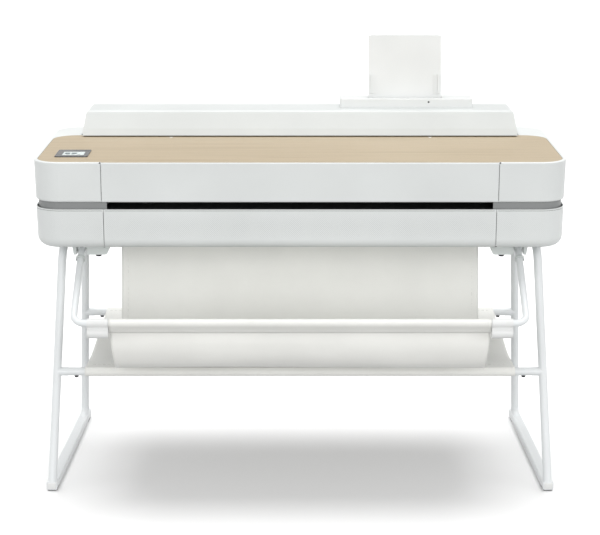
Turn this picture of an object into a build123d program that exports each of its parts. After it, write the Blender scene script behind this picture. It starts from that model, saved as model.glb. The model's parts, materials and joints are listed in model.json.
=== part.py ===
from build123d import *
import math
import os

# Large format plotter on a tube stand with a fabric media basket.
# Millimetres, +Z up, front towards -Y, +X to the right as seen from the front.
# Origin: on the floor, at the middle of the footprint.

# ------------------------------------------------------------ driving dimensions
# casing
CASE_WIDTH = 1339.0
CASE_FRONT_Y = -248.0
CASE_REAR_Y = 312.0
CASE_DEPTH = CASE_REAR_Y - CASE_FRONT_Y
CASE_MID_Y = (CASE_REAR_Y + CASE_FRONT_Y) / 2
CASE_CORNER = 68.0
CASE_DRAFT = 1.2
TOP_Z = 867.0
UPPER_BOTTOM_Z = 766.0
LOWER_TOP_Z = 748.0
LOWER_BOTTOM_Z = 646.0
LOWER_INSET = 2.0
WALL = 3.0
UPPER_SEAM_X = 494.8
LOWER_SEAM_X = 491.0
SEAM_GAP = 0.6
SLOT_HALF = 483.0
DECK_Z = TOP_Z - 5.0

# wood top
WOOD_WIDTH = 1321.0
WOOD_FRONT_Y = -238.0
WOOD_REAR_Y = 165.0
WOOD_DEPTH = WOOD_REAR_Y - WOOD_FRONT_Y
WOOD_MID_Y = (WOOD_REAR_Y + WOOD_FRONT_Y) / 2
WOOD_CORNER = 60.0
WOOD_GAP = 0.6

# front window and ink door
WINDOW_PIVOT_Y = -244.0
WINDOW_PIVOT_Z = 862.0
DOOR_PIVOT_Y = -192.0
DOOR_PIVOT_Z = 655.0
DOOR_REAR_Y = -188.5

# display
DISPLAY_X = -578.5
DISPLAY_Y = -122.0
DISPLAY_WIDTH = 84.0
DISPLAY_DEPTH = 98.0

# roll bay, roll and cover
BAY_HALF = 592.0
BAY_FRONT_Y = 168.0
BAY_REAR_Y = 306.0
BAY_BOTTOM_Z = 775.0
BAY_TOP_Z = 865.0
ROLL_Y = 232.0
ROLL_Z = 842.0
ROLL_RADIUS = 48.0
ROLL_HALF = 457.0
SPINDLE_RADIUS = 12.0
COVER_HALF = 586.0
COVER_BOTTOM_Z = 870.5
COVER_TOP_Z = 932.0
COVER_PIVOT_Y = 309.0
COVER_PIVOT_Z = 877.0
COVER_WALL = 4.0

# sheet feeder
FEEDER_LEFT_X = 110.0
FEEDER_RIGHT_X = 472.0
FEEDER_TOP_Z = 957.0
TRAY_X = 288.0
TRAY_HALF = 100.0
TRAY_PIVOT_Y = 262.0
TRAY_PIVOT_Z = 946.0
TRAY_LEAN = 12.4
TRAY_LENGTH = 180.0
GUIDE_OFFSET = 86.0

# stand
TUBE_RADIUS = 11.0
FRAME_BASE_X = 645.2
FRAME_LEAN = 0.0446
FRAME_TOE = 0.0321
FRONT_FOOT_Y = -235.0
TOP_TUBE_Z = 627.0
FRAME_CORNERS = [
    (FRONT_FOOT_Y, 20.0),
    (-116.0, TOP_TUBE_Z),
    (273.0, TOP_TUBE_Z),
    (327.0, 28.0),
    (286.0, 14.0),
]
FRAME_BENDS = [55.0, 55.0, 18.0]
RAIL_FRONT_Y = -244.0
RAIL_REAR_Y = 358.5
RAIL_WIDTH = 27.0
RAIL_HEIGHT = 22.0
PAD_HEIGHT = 3.0
CROSS_RADIUS = 10.5
FRONT_CROSS_Y = -179.0
FRONT_CROSS_Z = 305.0
FRONT_CROSS_HALF = 602.0
REAR_CROSS_Y = 299.0
REAR_CROSS_Z = 335.0
REAR_CROSS_HALF = 586.0

# basket
BAIL_PIVOT_Y = -125.0
BAIL_PIVOT_Z = 622.0
BAIL_BAR_Y = -345.0
BAIL_BAR_Z = 481.0
BAIL_HALF = 563.0
BAIL_RADIUS = 8.9
BAIL_BEND = 28.0
CLIP_INNER_X = 476.0
CLIP_OUTER_X = 528.0
BASKET_HALF = 475.0
SHELF_HALF = 558.0
CLOTH = 3.0
HANGER_Y = 22.0
HANGER_Z = 634.0

# print mechanism
PLATE_X = 632.0
PLATE_THICK = 3.0
RAIL_Y = 30.0
RAIL_Z = 812.0
SLIDE_RAIL_RADIUS = 8.0
CARRIAGE_X = 565.0
CARRIAGE_HALF = 55.0
BELT_Y = 62.0
BELT_Z = 800.0
BELT_HALF = 600.0
BELT_RADIUS = 11.0
FEED_Y = 18.0
FEED_Z = 735.0
GEAR_TEETH = 48
PINION_TEETH = 12
GEAR_MODULE = 1.0
GEAR_SPACING = 30.3
EXIT_Y = -140.0
EXIT_Z = 733.0
PLATEN_TOP_Z = 744.0
RUNNING_GAP = 0.05

# power supply, inlet and switch on the rear wall
INLET_X = -210.0
SWITCH_X = -160.0
SOCKET_Z = 681.0
SWITCH_Y = 305.0
PORT_X = -330.0

# stand details
STUB_RADIUS = CROSS_RADIUS + 0.6
CROSS_WALL = 1.5
BLOCK_YS = (-60.0, 220.0)
BLOCK_WIDTH = 30.0
BLOCK_DEPTH = 50.0
LUG_Y = 338.0
PAD_YS = (-218.0, 332.0)
PAD_WIDTH = 24.0
PAD_DEPTH = 46.0
BRACKET_BOTTOM_Z = 608.0
BRACKET_TOP_XS = (486.0, 588.0)
BRACKET_BOTTOM_XS = (496.0, 582.0)
BRACKET_DEPTH = 72.0
ARM_SLOT_X = 561.5
ARM_SLOT_WIDTH = 27.0
BAIL_PIN_RADIUS = 4.0
BAIL_EYE_RADIUS = 11.0
SCREW_RADIUS = 5.0
SCREW_HEAD = 4.0
SOCKET_RADIUS = 2.2
HANGER_RADIUS = 4.0
CLIP_RADIUS = BAIL_RADIUS + 2.6
CLIP_WEIGHT_RADIUS = 13.5
CLIP_WEIGHT_DROP = 25.0
HANGER_LUG_XS = (-482.0, 0.0, 482.0)

# casing details
BAND_BOTTOM_Z = 742.0
BAND_HEIGHT = 26.0
BAND_INSET_X = 9.0
BAND_INSET_Y = 8.5
BAND_WALL = 3.0
TOP_ROUND = 3.0
BOTTOM_ROUND = 5.0
WINDOW_BACK_Y = -240.8
WINDOW_TOP_Z = TOP_Z - 0.6
BEZEL_HEIGHT = 2.4
SCREEN_X = DISPLAY_X + 2.5
SCREEN_Y = DISPLAY_Y - 5.5
SCREEN_WIDTH = 54.4
SCREEN_DEPTH = 47.4
DOOR_ROD_RADIUS = 2.0
DOOR_KNUCKLE_RADIUS = 5.0
DOOR_CLEARANCE_RADIUS = 11.5

# roll and cover details
HUB_RADIUS = 42.0
CORE_RADIUS = 25.4
KNOB_RADIUS = 20.0
KNOB_INNER_X = 520.0
KNOB_LENGTH = 18.0
COVER_FRONT_Y = 139.0
COVER_LIP = (149.0, 888.0)
COVER_SLOPE_TOP_Y = 180.0
COVER_REAR_Y = 314.0
COVER_ROUND = 11.0
COVER_PIN_RADIUS = 2.0
FEEDER_MID_Y = 266.0
FEEDER_DEPTH = 74.0
TRUNNION_RADIUS = 2.5

# mechanism details
FEED_RADIUS = 9.0
FEED_HALF = 482.0
FEED_SHAFT_RADIUS = 5.0
EXIT_RADIUS = 7.0
EXIT_HALF = 478.0
EXIT_SHAFT_RADIUS = 4.0
SHAFT_HALF = 640.0
GEAR_X = -626.0
GEAR_WIDTH = 6.0
MOTOR_RADIUS = 19.0
MOTOR_LENGTH = 36.0
MOTOR_SHAFT_RADIUS = 2.5
PINCH_RADIUS = 6.0
PINCH_RISE = 16.0
PINCH_COUNT = 8
RIB_COUNT = 9
RIB_PITCH = 120.0
RIB_FIRST_X = -480.0
RIB_BOTTOM_Z = 705.0
CUTTER_Y = -185.0
CUTTER_Z = 790.0
BAY_MID_Y = (BAY_FRONT_Y + BAY_REAR_Y) / 2
BAY_MID_Z = (BAY_BOTTOM_Z + BAY_TOP_Z) / 2

# long cutting blocks and openings
FRONT_BLOCK = 200.0
REAR_BLOCK = 600.0
LOWER_BLOCK_Z = 700.0
UPPER_BLOCK_Z = 815.0
REAR_WALL_Y = 305.0
PORT_OPENING = (90.0, 26.0)
INLET_OPENING = (34.0, 28.0)
SWITCH_OPENING = (28.0, 32.0)
EDGE_ROUND = 26.0
SHELF_RISE = CROSS_RADIUS + 1.0
BAIL_PIN_START_X = 545.0
BAIL_PIN_LENGTH = 33.0

# positions inside the casing
DRIVE_PLATE_Z = 752.0
DRIVE_PLATE_Y = -23.0
CARRIAGE_BODY_Y = -46.0
CARRIAGE_BODY_Z = 795.0
CUTTER_SLED_X = 530.0
STATION_X = 565.0
STATION_Y = -45.0
STATION_Z = 690.0
CAP_Y = -54.0
CARTRIDGE_BAY_X = 568.0
CARTRIDGE_BAY_Z = 692.0
CARTRIDGE_Y = -143.0
MAINBOARD_X = -360.0
MAINBOARD_Z = 662.0
SUPPLY_X = -170.0

os.makedirs("parts", exist_ok=True)


def frame_x(y, z):
    """Half spacing of the side frames: each leans in towards its top and toes in to the rear."""
    return FRAME_BASE_X - FRAME_LEAN * z - FRAME_TOE * (y - FRONT_FOOT_Y)


# ------------------------------------------------------------ stand
for side, hand in ((-1, "left"), (1, "right")):
    with BuildPart() as side_frame:
        with BuildLine() as loop_path:
            FilletPolyline(
                *[(side * frame_x(y, z), y, z) for y, z in FRAME_CORNERS], radius=FRAME_BENDS
            )
        with BuildSketch(Plane(origin=loop_path.line @ 0, z_dir=loop_path.line % 0)):
            Circle(TUBE_RADIUS)
        sweep()
        # foot rail, toed in like the frame above it
        rail_z = PAD_HEIGHT + RAIL_HEIGHT / 2
        rail_start = (side * frame_x(RAIL_FRONT_Y, rail_z), RAIL_FRONT_Y, rail_z)
        rail_plane = Plane(
            origin=rail_start, x_dir=(1, side * FRAME_TOE, 0), z_dir=(-side * FRAME_TOE, 1, 0)
        )
        with BuildSketch(rail_plane):
            RectangleRounded(RAIL_WIDTH, RAIL_HEIGHT, 4)
        extrude(amount=RAIL_REAR_Y - RAIL_FRONT_Y)
        # welded stubs that take the two cross tubes
        for stub_y, stub_z, stub_x in (
            (FRONT_CROSS_Y, FRONT_CROSS_Z, FRONT_CROSS_HALF),
            (REAR_CROSS_Y, REAR_CROSS_Z, REAR_CROSS_HALF),
        ):
            with BuildSketch(Plane.YZ.offset(side * stub_x)):
                with Locations((stub_y, stub_z)):
                    Circle(STUB_RADIUS)
            extrude(amount=side * (frame_x(stub_y, stub_z) - stub_x))
        # blocks between the top tube and the casing
        for block_y in BLOCK_YS:
            block_height = LOWER_BOTTOM_Z - TOP_TUBE_Z
            block_x = side * frame_x(block_y, TOP_TUBE_Z)
            with Locations((block_x, block_y, TOP_TUBE_Z + block_height / 2)):
                Box(BLOCK_WIDTH, BLOCK_DEPTH, block_height)
        # levelling lug beside the rear leg
        with Locations((side * (frame_x(LUG_Y, 20) - 4), LUG_Y, 30)):
            Cylinder(7, 12)
    side_frame.part.label = f"side_frame_{hand}"
    export_step(side_frame.part, f"parts/side_frame_{hand}.step")

# pads under both ends of each rail
with BuildPart() as foot_pads:
    for side in (-1, 1):
        for pad_y in PAD_YS:
            pad_plane = Plane(
                origin=(side * frame_x(pad_y, 0), pad_y, 0), x_dir=(1, side * FRAME_TOE, 0), z_dir=(0, 0, 1)
            )
            with BuildSketch(pad_plane):
                RectangleRounded(PAD_WIDTH, PAD_DEPTH, 4)
            extrude(amount=PAD_HEIGHT)
foot_pads.part.label = "foot_pads"
export_step(foot_pads.part, "parts/foot_pads.step")

for cross_name, cross_y, cross_z, cross_half in (
    ("front_cross_tube", FRONT_CROSS_Y, FRONT_CROSS_Z, FRONT_CROSS_HALF),
    ("rear_cross_tube", REAR_CROSS_Y, REAR_CROSS_Z, REAR_CROSS_HALF),
):
    with BuildPart() as cross_tube:
        with BuildSketch(Plane.YZ):
            with Locations((cross_y, cross_z)):
                Circle(CROSS_RADIUS)
                Circle(CROSS_RADIUS - CROSS_WALL, mode=Mode.SUBTRACT)
        extrude(amount=cross_half, both=True)
    cross_tube.part.label = cross_name
    export_step(cross_tube.part, f"parts/{cross_name}.step")

# brackets under the casing that carry the bail's pivots
with BuildPart() as stand_brackets:
    for side in (-1, 1):
        with BuildSketch(Plane.XZ.offset(-BAIL_PIVOT_Y + 20)):
            with BuildLine():
                Polyline(
                    (side * BRACKET_TOP_XS[0], LOWER_BOTTOM_Z),
                    (side * BRACKET_TOP_XS[1], LOWER_BOTTOM_Z),
                    (side * BRACKET_BOTTOM_XS[1], BRACKET_BOTTOM_Z),
                    (side * BRACKET_BOTTOM_XS[0], BRACKET_BOTTOM_Z),
                    close=True,
                )
            make_face()
        extrude(amount=-BRACKET_DEPTH)
        # slot for the bail's arm, open below and in front
        with Locations((side * ARM_SLOT_X, BAIL_PIVOT_Y + 10, BAIL_PIVOT_Z)):
            Box(ARM_SLOT_WIDTH, 100, 36, mode=Mode.SUBTRACT)
        # pivot pin across the slot
        with BuildSketch(Plane.YZ.offset(side * BAIL_PIN_START_X)):
            with Locations((BAIL_PIVOT_Y, BAIL_PIVOT_Z)):
                Circle(BAIL_PIN_RADIUS)
        extrude(amount=side * BAIL_PIN_LENGTH)
    bottom_corners = stand_brackets.edges().filter_by(Axis.Y).group_by(Axis.Z)[0]
    outer_corners = [edge for edge in bottom_corners if abs(edge.center().X) < 500]
    fillet(outer_corners, 8)
stand_brackets.part.label = "stand_brackets"
export_step(stand_brackets.part, "parts/stand_brackets.step")

# cap screws: one below each bracket, one below each end of each cross tube
with BuildPart() as stand_screws:
    for side in (-1, 1):
        for screw_x, screw_y, screw_z in (
            (517, -118, BRACKET_BOTTOM_Z - 2),
            (BRACKET_BOTTOM_XS[1] - 2, FRONT_CROSS_Y, FRONT_CROSS_Z - CROSS_RADIUS - 2),
            (565, REAR_CROSS_Y, REAR_CROSS_Z - CROSS_RADIUS - 2),
        ):
            with Locations((side * screw_x, screw_y, screw_z)):
                Cylinder(SCREW_RADIUS, SCREW_HEAD)
                with Locations((0, 0, -SCREW_HEAD / 2)):
                    Cylinder(SOCKET_RADIUS, 3, mode=Mode.SUBTRACT)
stand_screws.part.label = "stand_screws"
export_step(stand_screws.part, "parts/stand_screws.step")

# ------------------------------------------------------------ basket
# rod under the body that the back cloth hangs from
with BuildPart() as basket_hanger_rod:
    with BuildSketch(Plane.YZ):
        with Locations((HANGER_Y, HANGER_Z)):
            Circle(HANGER_RADIUS)
    extrude(amount=BASKET_HALF + 10, both=True)
    with Locations(*[(x, HANGER_Y, (HANGER_Z + LOWER_BOTTOM_Z) / 2) for x in HANGER_LUG_XS]):
        Box(4, 14, LOWER_BOTTOM_Z - HANGER_Z)
basket_hanger_rod.part.label = "basket_hanger_rod"
export_step(basket_hanger_rod.part, "parts/basket_hanger_rod.step")

with BuildPart() as bail_tube:
    with BuildLine() as bail_path:
        FilletPolyline(
            (-BAIL_HALF, BAIL_PIVOT_Y, BAIL_PIVOT_Z),
            (-BAIL_HALF, BAIL_BAR_Y, BAIL_BAR_Z),
            (BAIL_HALF, BAIL_BAR_Y, BAIL_BAR_Z),
            (BAIL_HALF, BAIL_PIVOT_Y, BAIL_PIVOT_Z),
            radius=BAIL_BEND,
        )
    with BuildSketch(Plane(origin=bail_path.line @ 0, z_dir=bail_path.line % 0)):
        Circle(BAIL_RADIUS)
    sweep()
    for side in (-1, 1):
        with BuildSketch(Plane.YZ.offset(side * BAIL_HALF)):
            with Locations((BAIL_PIVOT_Y, BAIL_PIVOT_Z)):
                Circle(BAIL_EYE_RADIUS)
        extrude(amount=8.5, both=True)
        with BuildSketch(Plane.YZ.offset(side * BAIL_HALF)):
            with Locations((BAIL_PIVOT_Y, BAIL_PIVOT_Z)):
                Circle(BAIL_PIN_RADIUS + RUNNING_GAP)
        extrude(amount=12, both=True, mode=Mode.SUBTRACT)
bail_tube.part.label = "bail_tube"
export_step(bail_tube.part, "parts/bail_tube.step")

# clips that hold the cloth's ends on the bail, each with a round weight below
with BuildPart() as bail_clips:
    for side in (-1, 1):
        with BuildSketch(Plane.YZ.offset(side * CLIP_INNER_X)):
            with Locations((BAIL_BAR_Y, BAIL_BAR_Z)):
                Circle(CLIP_RADIUS)
            with Locations((BAIL_BAR_Y, BAIL_BAR_Z - 12)):
                Rectangle(14, 24)
            with Locations((BAIL_BAR_Y, BAIL_BAR_Z - CLIP_WEIGHT_DROP)):
                Circle(CLIP_WEIGHT_RADIUS)
            with Locations((BAIL_BAR_Y, BAIL_BAR_Z)):
                Circle(BAIL_RADIUS + 0.1, mode=Mode.SUBTRACT)
        extrude(amount=side * (CLIP_OUTER_X - CLIP_INNER_X))
bail_clips.part.label = "bail_clips"
export_step(bail_clips.part, "parts/bail_clips.step")

# cloth from the hanger rod down to the front edge of the trough's floor
with BuildPart() as basket_back:
    with BuildSketch(Plane.YZ):
        with BuildLine():
            FilletPolyline(
                (18, 626), (15, 581), (-30, 408), (-85, 362), (-170, 345), (-228, 342), radius=22
            )
        trace(line_width=CLOTH)
    extrude(amount=BASKET_HALF, both=True)
basket_back.part.label = "basket_back"
export_step(basket_back.part, "parts/basket_back.step")

# cloth from the trough's floor up to the bail
with BuildPart() as basket_front:
    with BuildSketch(Plane.YZ):
        with BuildLine():
            FilletPolyline((-231, 342), (-277, 346), (-322, 405), (-346, 468), radius=18)
        trace(line_width=CLOTH)
    extrude(amount=CLIP_INNER_X - 2, both=True)
basket_front.part.label = "basket_front"
export_step(basket_front.part, "parts/basket_front.step")

# cloth shelf with a sleeve round each cross tube
with BuildPart() as basket_shelf:
    with BuildSketch(Plane.YZ):
        with BuildLine():
            Line((FRONT_CROSS_Y, FRONT_CROSS_Z + 11.5), (REAR_CROSS_Y, REAR_CROSS_Z + 11.5))
        trace(line_width=CLOTH)
        with Locations((FRONT_CROSS_Y, FRONT_CROSS_Z), (REAR_CROSS_Y, REAR_CROSS_Z)):
            Circle(CROSS_RADIUS + 2.5)
            Circle(CROSS_RADIUS + 0.1, mode=Mode.SUBTRACT)
    extrude(amount=SHELF_HALF, both=True)
    # the rear sleeve is shorter, because the frames stand closer there
    for side in (-1, 1):
        with Locations((side * (SHELF_HALF + 2), REAR_CROSS_Y, REAR_CROSS_Z)):
            Box(20, 30, 30, mode=Mode.SUBTRACT)
basket_shelf.part.label = "basket_shelf"
export_step(basket_shelf.part, "parts/basket_shelf.step")

# ------------------------------------------------------------ lower casing
LOWER_WIDTH = CASE_WIDTH - 2 * LOWER_INSET
LOWER_DEPTH = CASE_DEPTH - 2 * LOWER_INSET
LOWER_HEIGHT = LOWER_TOP_Z - LOWER_BOTTOM_Z
LOWER_LINE_Z = 743.0

with BuildPart() as lower_core:
    with BuildSketch(Plane.XY.offset(LOWER_TOP_Z)):
        with Locations((0, CASE_MID_Y)):
            RectangleRounded(LOWER_WIDTH - 2 * WALL, LOWER_DEPTH - 2 * WALL, CASE_CORNER - LOWER_INSET - WALL)
    extrude(amount=-(LOWER_HEIGHT - WALL), taper=CASE_DRAFT)
    fillet(lower_core.edges().group_by(Axis.Z)[0], EDGE_ROUND - WALL)

with BuildPart() as lower_blank:
    with BuildSketch(Plane.XY.offset(LOWER_TOP_Z)):
        with Locations((0, CASE_MID_Y)):
            RectangleRounded(LOWER_WIDTH, LOWER_DEPTH, CASE_CORNER - LOWER_INSET)
    extrude(amount=-LOWER_HEIGHT, taper=CASE_DRAFT)
    fillet(lower_blank.edges().group_by(Axis.Z)[0], EDGE_ROUND)
    add(lower_core.part, mode=Mode.SUBTRACT)
    # shadow line below the bright top lip
    with BuildSketch(Plane.XY.offset(LOWER_LINE_Z)):
        with Locations((0, CASE_MID_Y)):
            RectangleRounded(LOWER_WIDTH + 4, LOWER_DEPTH + 4, CASE_CORNER)
            RectangleRounded(
                LOWER_WIDTH - 1.6, LOWER_DEPTH - 1.6, CASE_CORNER - LOWER_INSET - 0.8, mode=Mode.SUBTRACT
            )
    extrude(amount=0.9, mode=Mode.SUBTRACT)

LOWER_FRONT_REAR_Y = -190.0
with BuildPart() as lower_front_panel:
    add(lower_blank.part)
    with Locations((0, CASE_FRONT_Y, LOWER_BLOCK_Z)):
        Box(
            2 * LOWER_SEAM_X - SEAM_GAP,
            2 * (LOWER_FRONT_REAR_Y - CASE_FRONT_Y),
            FRONT_BLOCK,
            mode=Mode.INTERSECT,
        )
lower_front_panel.part.label = "lower_front_panel"
export_step(lower_front_panel.part, "parts/lower_front_panel.step")

with BuildPart() as lower_housing:
    add(lower_blank.part)
    with Locations((0, LOWER_FRONT_REAR_Y + SEAM_GAP + REAR_BLOCK / 2, LOWER_BLOCK_Z)):
        Box(2 * LOWER_SEAM_X - SEAM_GAP, REAR_BLOCK, FRONT_BLOCK, mode=Mode.INTERSECT)
    # cut-outs for the ports, the power inlet and the switch
    with Locations((PORT_X, REAR_WALL_Y, SOCKET_Z)):
        Box(PORT_OPENING[0], 20, PORT_OPENING[1], mode=Mode.SUBTRACT)
    with Locations((INLET_X, REAR_WALL_Y, SOCKET_Z)):
        Box(INLET_OPENING[0], 20, INLET_OPENING[1], mode=Mode.SUBTRACT)
    with Locations((SWITCH_X, REAR_WALL_Y, SOCKET_Z)):
        Box(SWITCH_OPENING[0], 20, SWITCH_OPENING[1], mode=Mode.SUBTRACT)
lower_housing.part.label = "lower_housing"
export_step(lower_housing.part, "parts/lower_housing.step")

with BuildPart() as lower_end_left:
    add(lower_blank.part)
    split(bisect_by=Plane.YZ.offset(-LOWER_SEAM_X - SEAM_GAP / 2), keep=Keep.BOTTOM)
lower_end_left.part.label = "lower_end_left"
export_step(lower_end_left.part, "parts/lower_end_left.step")

HINGE_SPOTS = (506.0, 618.0)
with BuildPart() as lower_end_right:
    add(lower_blank.part)
    split(bisect_by=Plane.YZ.offset(LOWER_SEAM_X + SEAM_GAP / 2), keep=Keep.TOP)
    split(bisect_by=Plane.XZ.offset(-DOOR_REAR_Y - 0.6), keep=Keep.BOTTOM)
    # room for the door's lower edge as it turns
    with BuildSketch(Plane.YZ.offset(480)):
        with Locations((DOOR_PIVOT_Y, DOOR_PIVOT_Z)):
            Circle(DOOR_CLEARANCE_RADIUS)
    extrude(amount=200, mode=Mode.SUBTRACT)
    # ribs that hold the hinge rod
    for rib_x in HINGE_SPOTS:
        with BuildSketch(Plane.YZ.offset(rib_x - 6)):
            with Locations((DOOR_PIVOT_Y, DOOR_PIVOT_Z)):
                Circle(DOOR_KNUCKLE_RADIUS)
            with BuildLine():
                Polyline(
                    (DOOR_PIVOT_Y, DOOR_PIVOT_Z - 1.5),
                    (DOOR_PIVOT_Y, DOOR_PIVOT_Z + 5),
                    (-170, DOOR_PIVOT_Z + 5),
                    (-170, LOWER_BOTTOM_Z + 1),
                    (-177, LOWER_BOTTOM_Z + 1),
                    (-179.5, DOOR_PIVOT_Z - 1.5),
                    close=True,
                )
            make_face()
            with Locations((DOOR_PIVOT_Y, DOOR_PIVOT_Z)):
                Circle(DOOR_ROD_RADIUS, mode=Mode.SUBTRACT)
        extrude(amount=5)
lower_end_right.part.label = "lower_end_right"
export_step(lower_end_right.part, "parts/lower_end_right.step")

with BuildPart() as ink_door:
    add(lower_blank.part)
    split(bisect_by=Plane.YZ.offset(LOWER_SEAM_X + SEAM_GAP / 2), keep=Keep.TOP)
    split(bisect_by=Plane.XZ.offset(-DOOR_REAR_Y), keep=Keep.TOP)
    with Locations((570, DOOR_REAR_Y, LOWER_BOTTOM_Z)):
        Box(200, 2 * (DOOR_REAR_Y - DOOR_PIVOT_Y + 1), 14, mode=Mode.SUBTRACT)
    # lugs on the hinge rod
    for lug_x in HINGE_SPOTS:
        with BuildSketch(Plane.YZ.offset(lug_x)):
            with Locations((DOOR_PIVOT_Y, DOOR_PIVOT_Z)):
                Circle(DOOR_KNUCKLE_RADIUS)
            with BuildLine():
                Polyline(
                    (DOOR_PIVOT_Y, DOOR_PIVOT_Z + 5),
                    (DOOR_PIVOT_Y - 24, DOOR_PIVOT_Z - 1),
                    (DOOR_PIVOT_Y - 24, LOWER_BOTTOM_Z + 2),
                    (DOOR_PIVOT_Y - 4, LOWER_BOTTOM_Z + 2),
                    close=True,
                )
            make_face()
            with Locations((DOOR_PIVOT_Y, DOOR_PIVOT_Z)):
                Circle(DOOR_ROD_RADIUS + RUNNING_GAP, mode=Mode.SUBTRACT)
        extrude(amount=5)
ink_door.part.label = "ink_door"
export_step(ink_door.part, "parts/ink_door.step")

# recessed band that joins the two casing halves, open at the output slot
with BuildPart() as mid_band:
    band_width = CASE_WIDTH - 2 * BAND_INSET_X
    band_depth = CASE_DEPTH - 2 * BAND_INSET_Y
    band_corner = CASE_CORNER - BAND_INSET_Y + 0.5
    with BuildSketch(Plane.XY.offset(BAND_BOTTOM_Z)):
        with Locations((0, CASE_MID_Y)):
            RectangleRounded(band_width, band_depth, band_corner)
            RectangleRounded(
                band_width - 2 * BAND_WALL,
                band_depth - 2 * BAND_WALL,
                band_corner - BAND_WALL,
                mode=Mode.SUBTRACT,
            )
    extrude(amount=BAND_HEIGHT)
    with Locations((0, CASE_FRONT_Y, BAND_BOTTOM_Z + BAND_HEIGHT / 2)):
        Box(2 * SLOT_HALF, 60, 40, mode=Mode.SUBTRACT)
mid_band.part.label = "mid_band"
export_step(mid_band.part, "parts/mid_band.step")

# ------------------------------------------------------------ upper casing
with BuildPart() as upper_blank:
    with BuildSketch(Plane.XY.offset(TOP_Z)):
        with Locations((0, CASE_MID_Y)):
            RectangleRounded(CASE_WIDTH, CASE_DEPTH, CASE_CORNER)
    extrude(amount=-(TOP_Z - UPPER_BOTTOM_Z), taper=CASE_DRAFT)
    fillet(upper_blank.edges().group_by(Axis.Z)[-1], TOP_ROUND)
    fillet(upper_blank.edges().group_by(Axis.Z)[0], BOTTOM_ROUND)
    # hollow below the deck
    with BuildSketch(Plane.XY.offset(DECK_Z - WALL)):
        with Locations((0, CASE_MID_Y)):
            RectangleRounded(CASE_WIDTH - 2 * WALL, CASE_DEPTH - 2 * WALL, CASE_CORNER - WALL)
    extrude(amount=-(DECK_Z - WALL - UPPER_BOTTOM_Z), taper=CASE_DRAFT, mode=Mode.SUBTRACT)
    # recess for the wood panel
    with BuildSketch(Plane.XY.offset(DECK_Z)):
        with Locations((0, WOOD_MID_Y)):
            RectangleRounded(
                WOOD_WIDTH + 2 * WOOD_GAP, WOOD_DEPTH + 2 * WOOD_GAP, WOOD_CORNER + WOOD_GAP
            )
    extrude(amount=TOP_Z - DECK_Z, mode=Mode.SUBTRACT)
    # opening for the roll bay tray
    with Locations((0, BAY_MID_Y, DECK_Z)):
        Box(2 * BAY_HALF + 2, BAY_REAR_Y - BAY_FRONT_Y + 1, 40, mode=Mode.SUBTRACT)

UPPER_SEAM_EDGE = UPPER_SEAM_X + SEAM_GAP / 2
PIN_HALF_LENGTH = 22.0
PIN_RADIUS = 1.5
for side, hand in ((-1, "left"), (1, "right")):
    with BuildPart() as upper_end:
        add(upper_blank.part)
        keep_side = Keep.TOP if side > 0 else Keep.BOTTOM
        split(bisect_by=Plane.YZ.offset(side * UPPER_SEAM_EDGE), keep=keep_side)
        with BuildSketch(Plane.YZ.offset(side * UPPER_SEAM_EDGE)):
            with Locations((WINDOW_PIVOT_Y, WINDOW_PIVOT_Z)):
                Circle(PIN_RADIUS)
        extrude(amount=side * PIN_HALF_LENGTH, mode=Mode.SUBTRACT)
    upper_end.part.label = f"upper_end_{hand}"
    export_step(upper_end.part, f"parts/upper_end_{hand}.step")

WELL_FLOOR_Z = 770.0
with BuildPart() as upper_deck:
    add(upper_blank.part)
    with Locations((0, 200, UPPER_BLOCK_Z)):
        Box(2 * UPPER_SEAM_X - SEAM_GAP, 870, FRONT_BLOCK, mode=Mode.INTERSECT)
    # well that carries the roll bay tray and ties the deck to the rear wall
    with Locations((0, BAY_FRONT_Y - 3.5, (WELL_FLOOR_Z + DECK_Z) / 2)):
        Box(2 * UPPER_SEAM_X - SEAM_GAP, WALL, DECK_Z - WELL_FLOOR_Z)
    with Locations((0, (BAY_FRONT_Y + CASE_REAR_Y) / 2 - 3, WELL_FLOOR_Z + WALL / 2)):
        Box(2 * UPPER_SEAM_X - SEAM_GAP, CASE_REAR_Y - BAY_FRONT_Y - 2, WALL)
upper_deck.part.label = "upper_deck"
export_step(upper_deck.part, "parts/upper_deck.step")

# front window: a long flap that turns on pins near its top edge
DRAFT_SHIFT = (TOP_Z - UPPER_BOTTOM_Z) * math.tan(math.radians(CASE_DRAFT))
with BuildPart() as front_window:
    with BuildSketch(Plane.YZ):
        with BuildLine():
            Polyline(
                (CASE_FRONT_Y, WINDOW_TOP_Z),
                (WINDOW_BACK_Y + 0.6, WINDOW_TOP_Z),
                (WINDOW_BACK_Y + 0.6, WINDOW_TOP_Z - 9.4),
                (WINDOW_BACK_Y - 3.8, WINDOW_TOP_Z - 14.4),
                (WINDOW_BACK_Y - 2.2, UPPER_BOTTOM_Z + 8),
                (WINDOW_BACK_Y, UPPER_BOTTOM_Z + 4),
                (WINDOW_BACK_Y, UPPER_BOTTOM_Z),
                (CASE_FRONT_Y + DRAFT_SHIFT, UPPER_BOTTOM_Z),
                close=True,
            )
        make_face()
    extrude(amount=UPPER_SEAM_X - SEAM_GAP / 2, both=True)
    long_edges = front_window.edges().filter_by(Axis.X)
    top_edges = long_edges.group_by(Axis.Z)[-1].sort_by(Axis.Y)
    bottom_edges = long_edges.group_by(Axis.Z)[0].sort_by(Axis.Y)
    fillet([top_edges[0], top_edges[-1]], 2.4)
    fillet(bottom_edges[0], 4)
    for side in (-1, 1):
        with BuildSketch(Plane.YZ.offset(side * (UPPER_SEAM_X - SEAM_GAP / 2))):
            with Locations((WINDOW_PIVOT_Y, WINDOW_PIVOT_Z)):
                Circle(PIN_RADIUS + RUNNING_GAP)
        extrude(amount=-side * (PIN_HALF_LENGTH + 1), mode=Mode.SUBTRACT)
front_window.part.label = "front_window"
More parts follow.
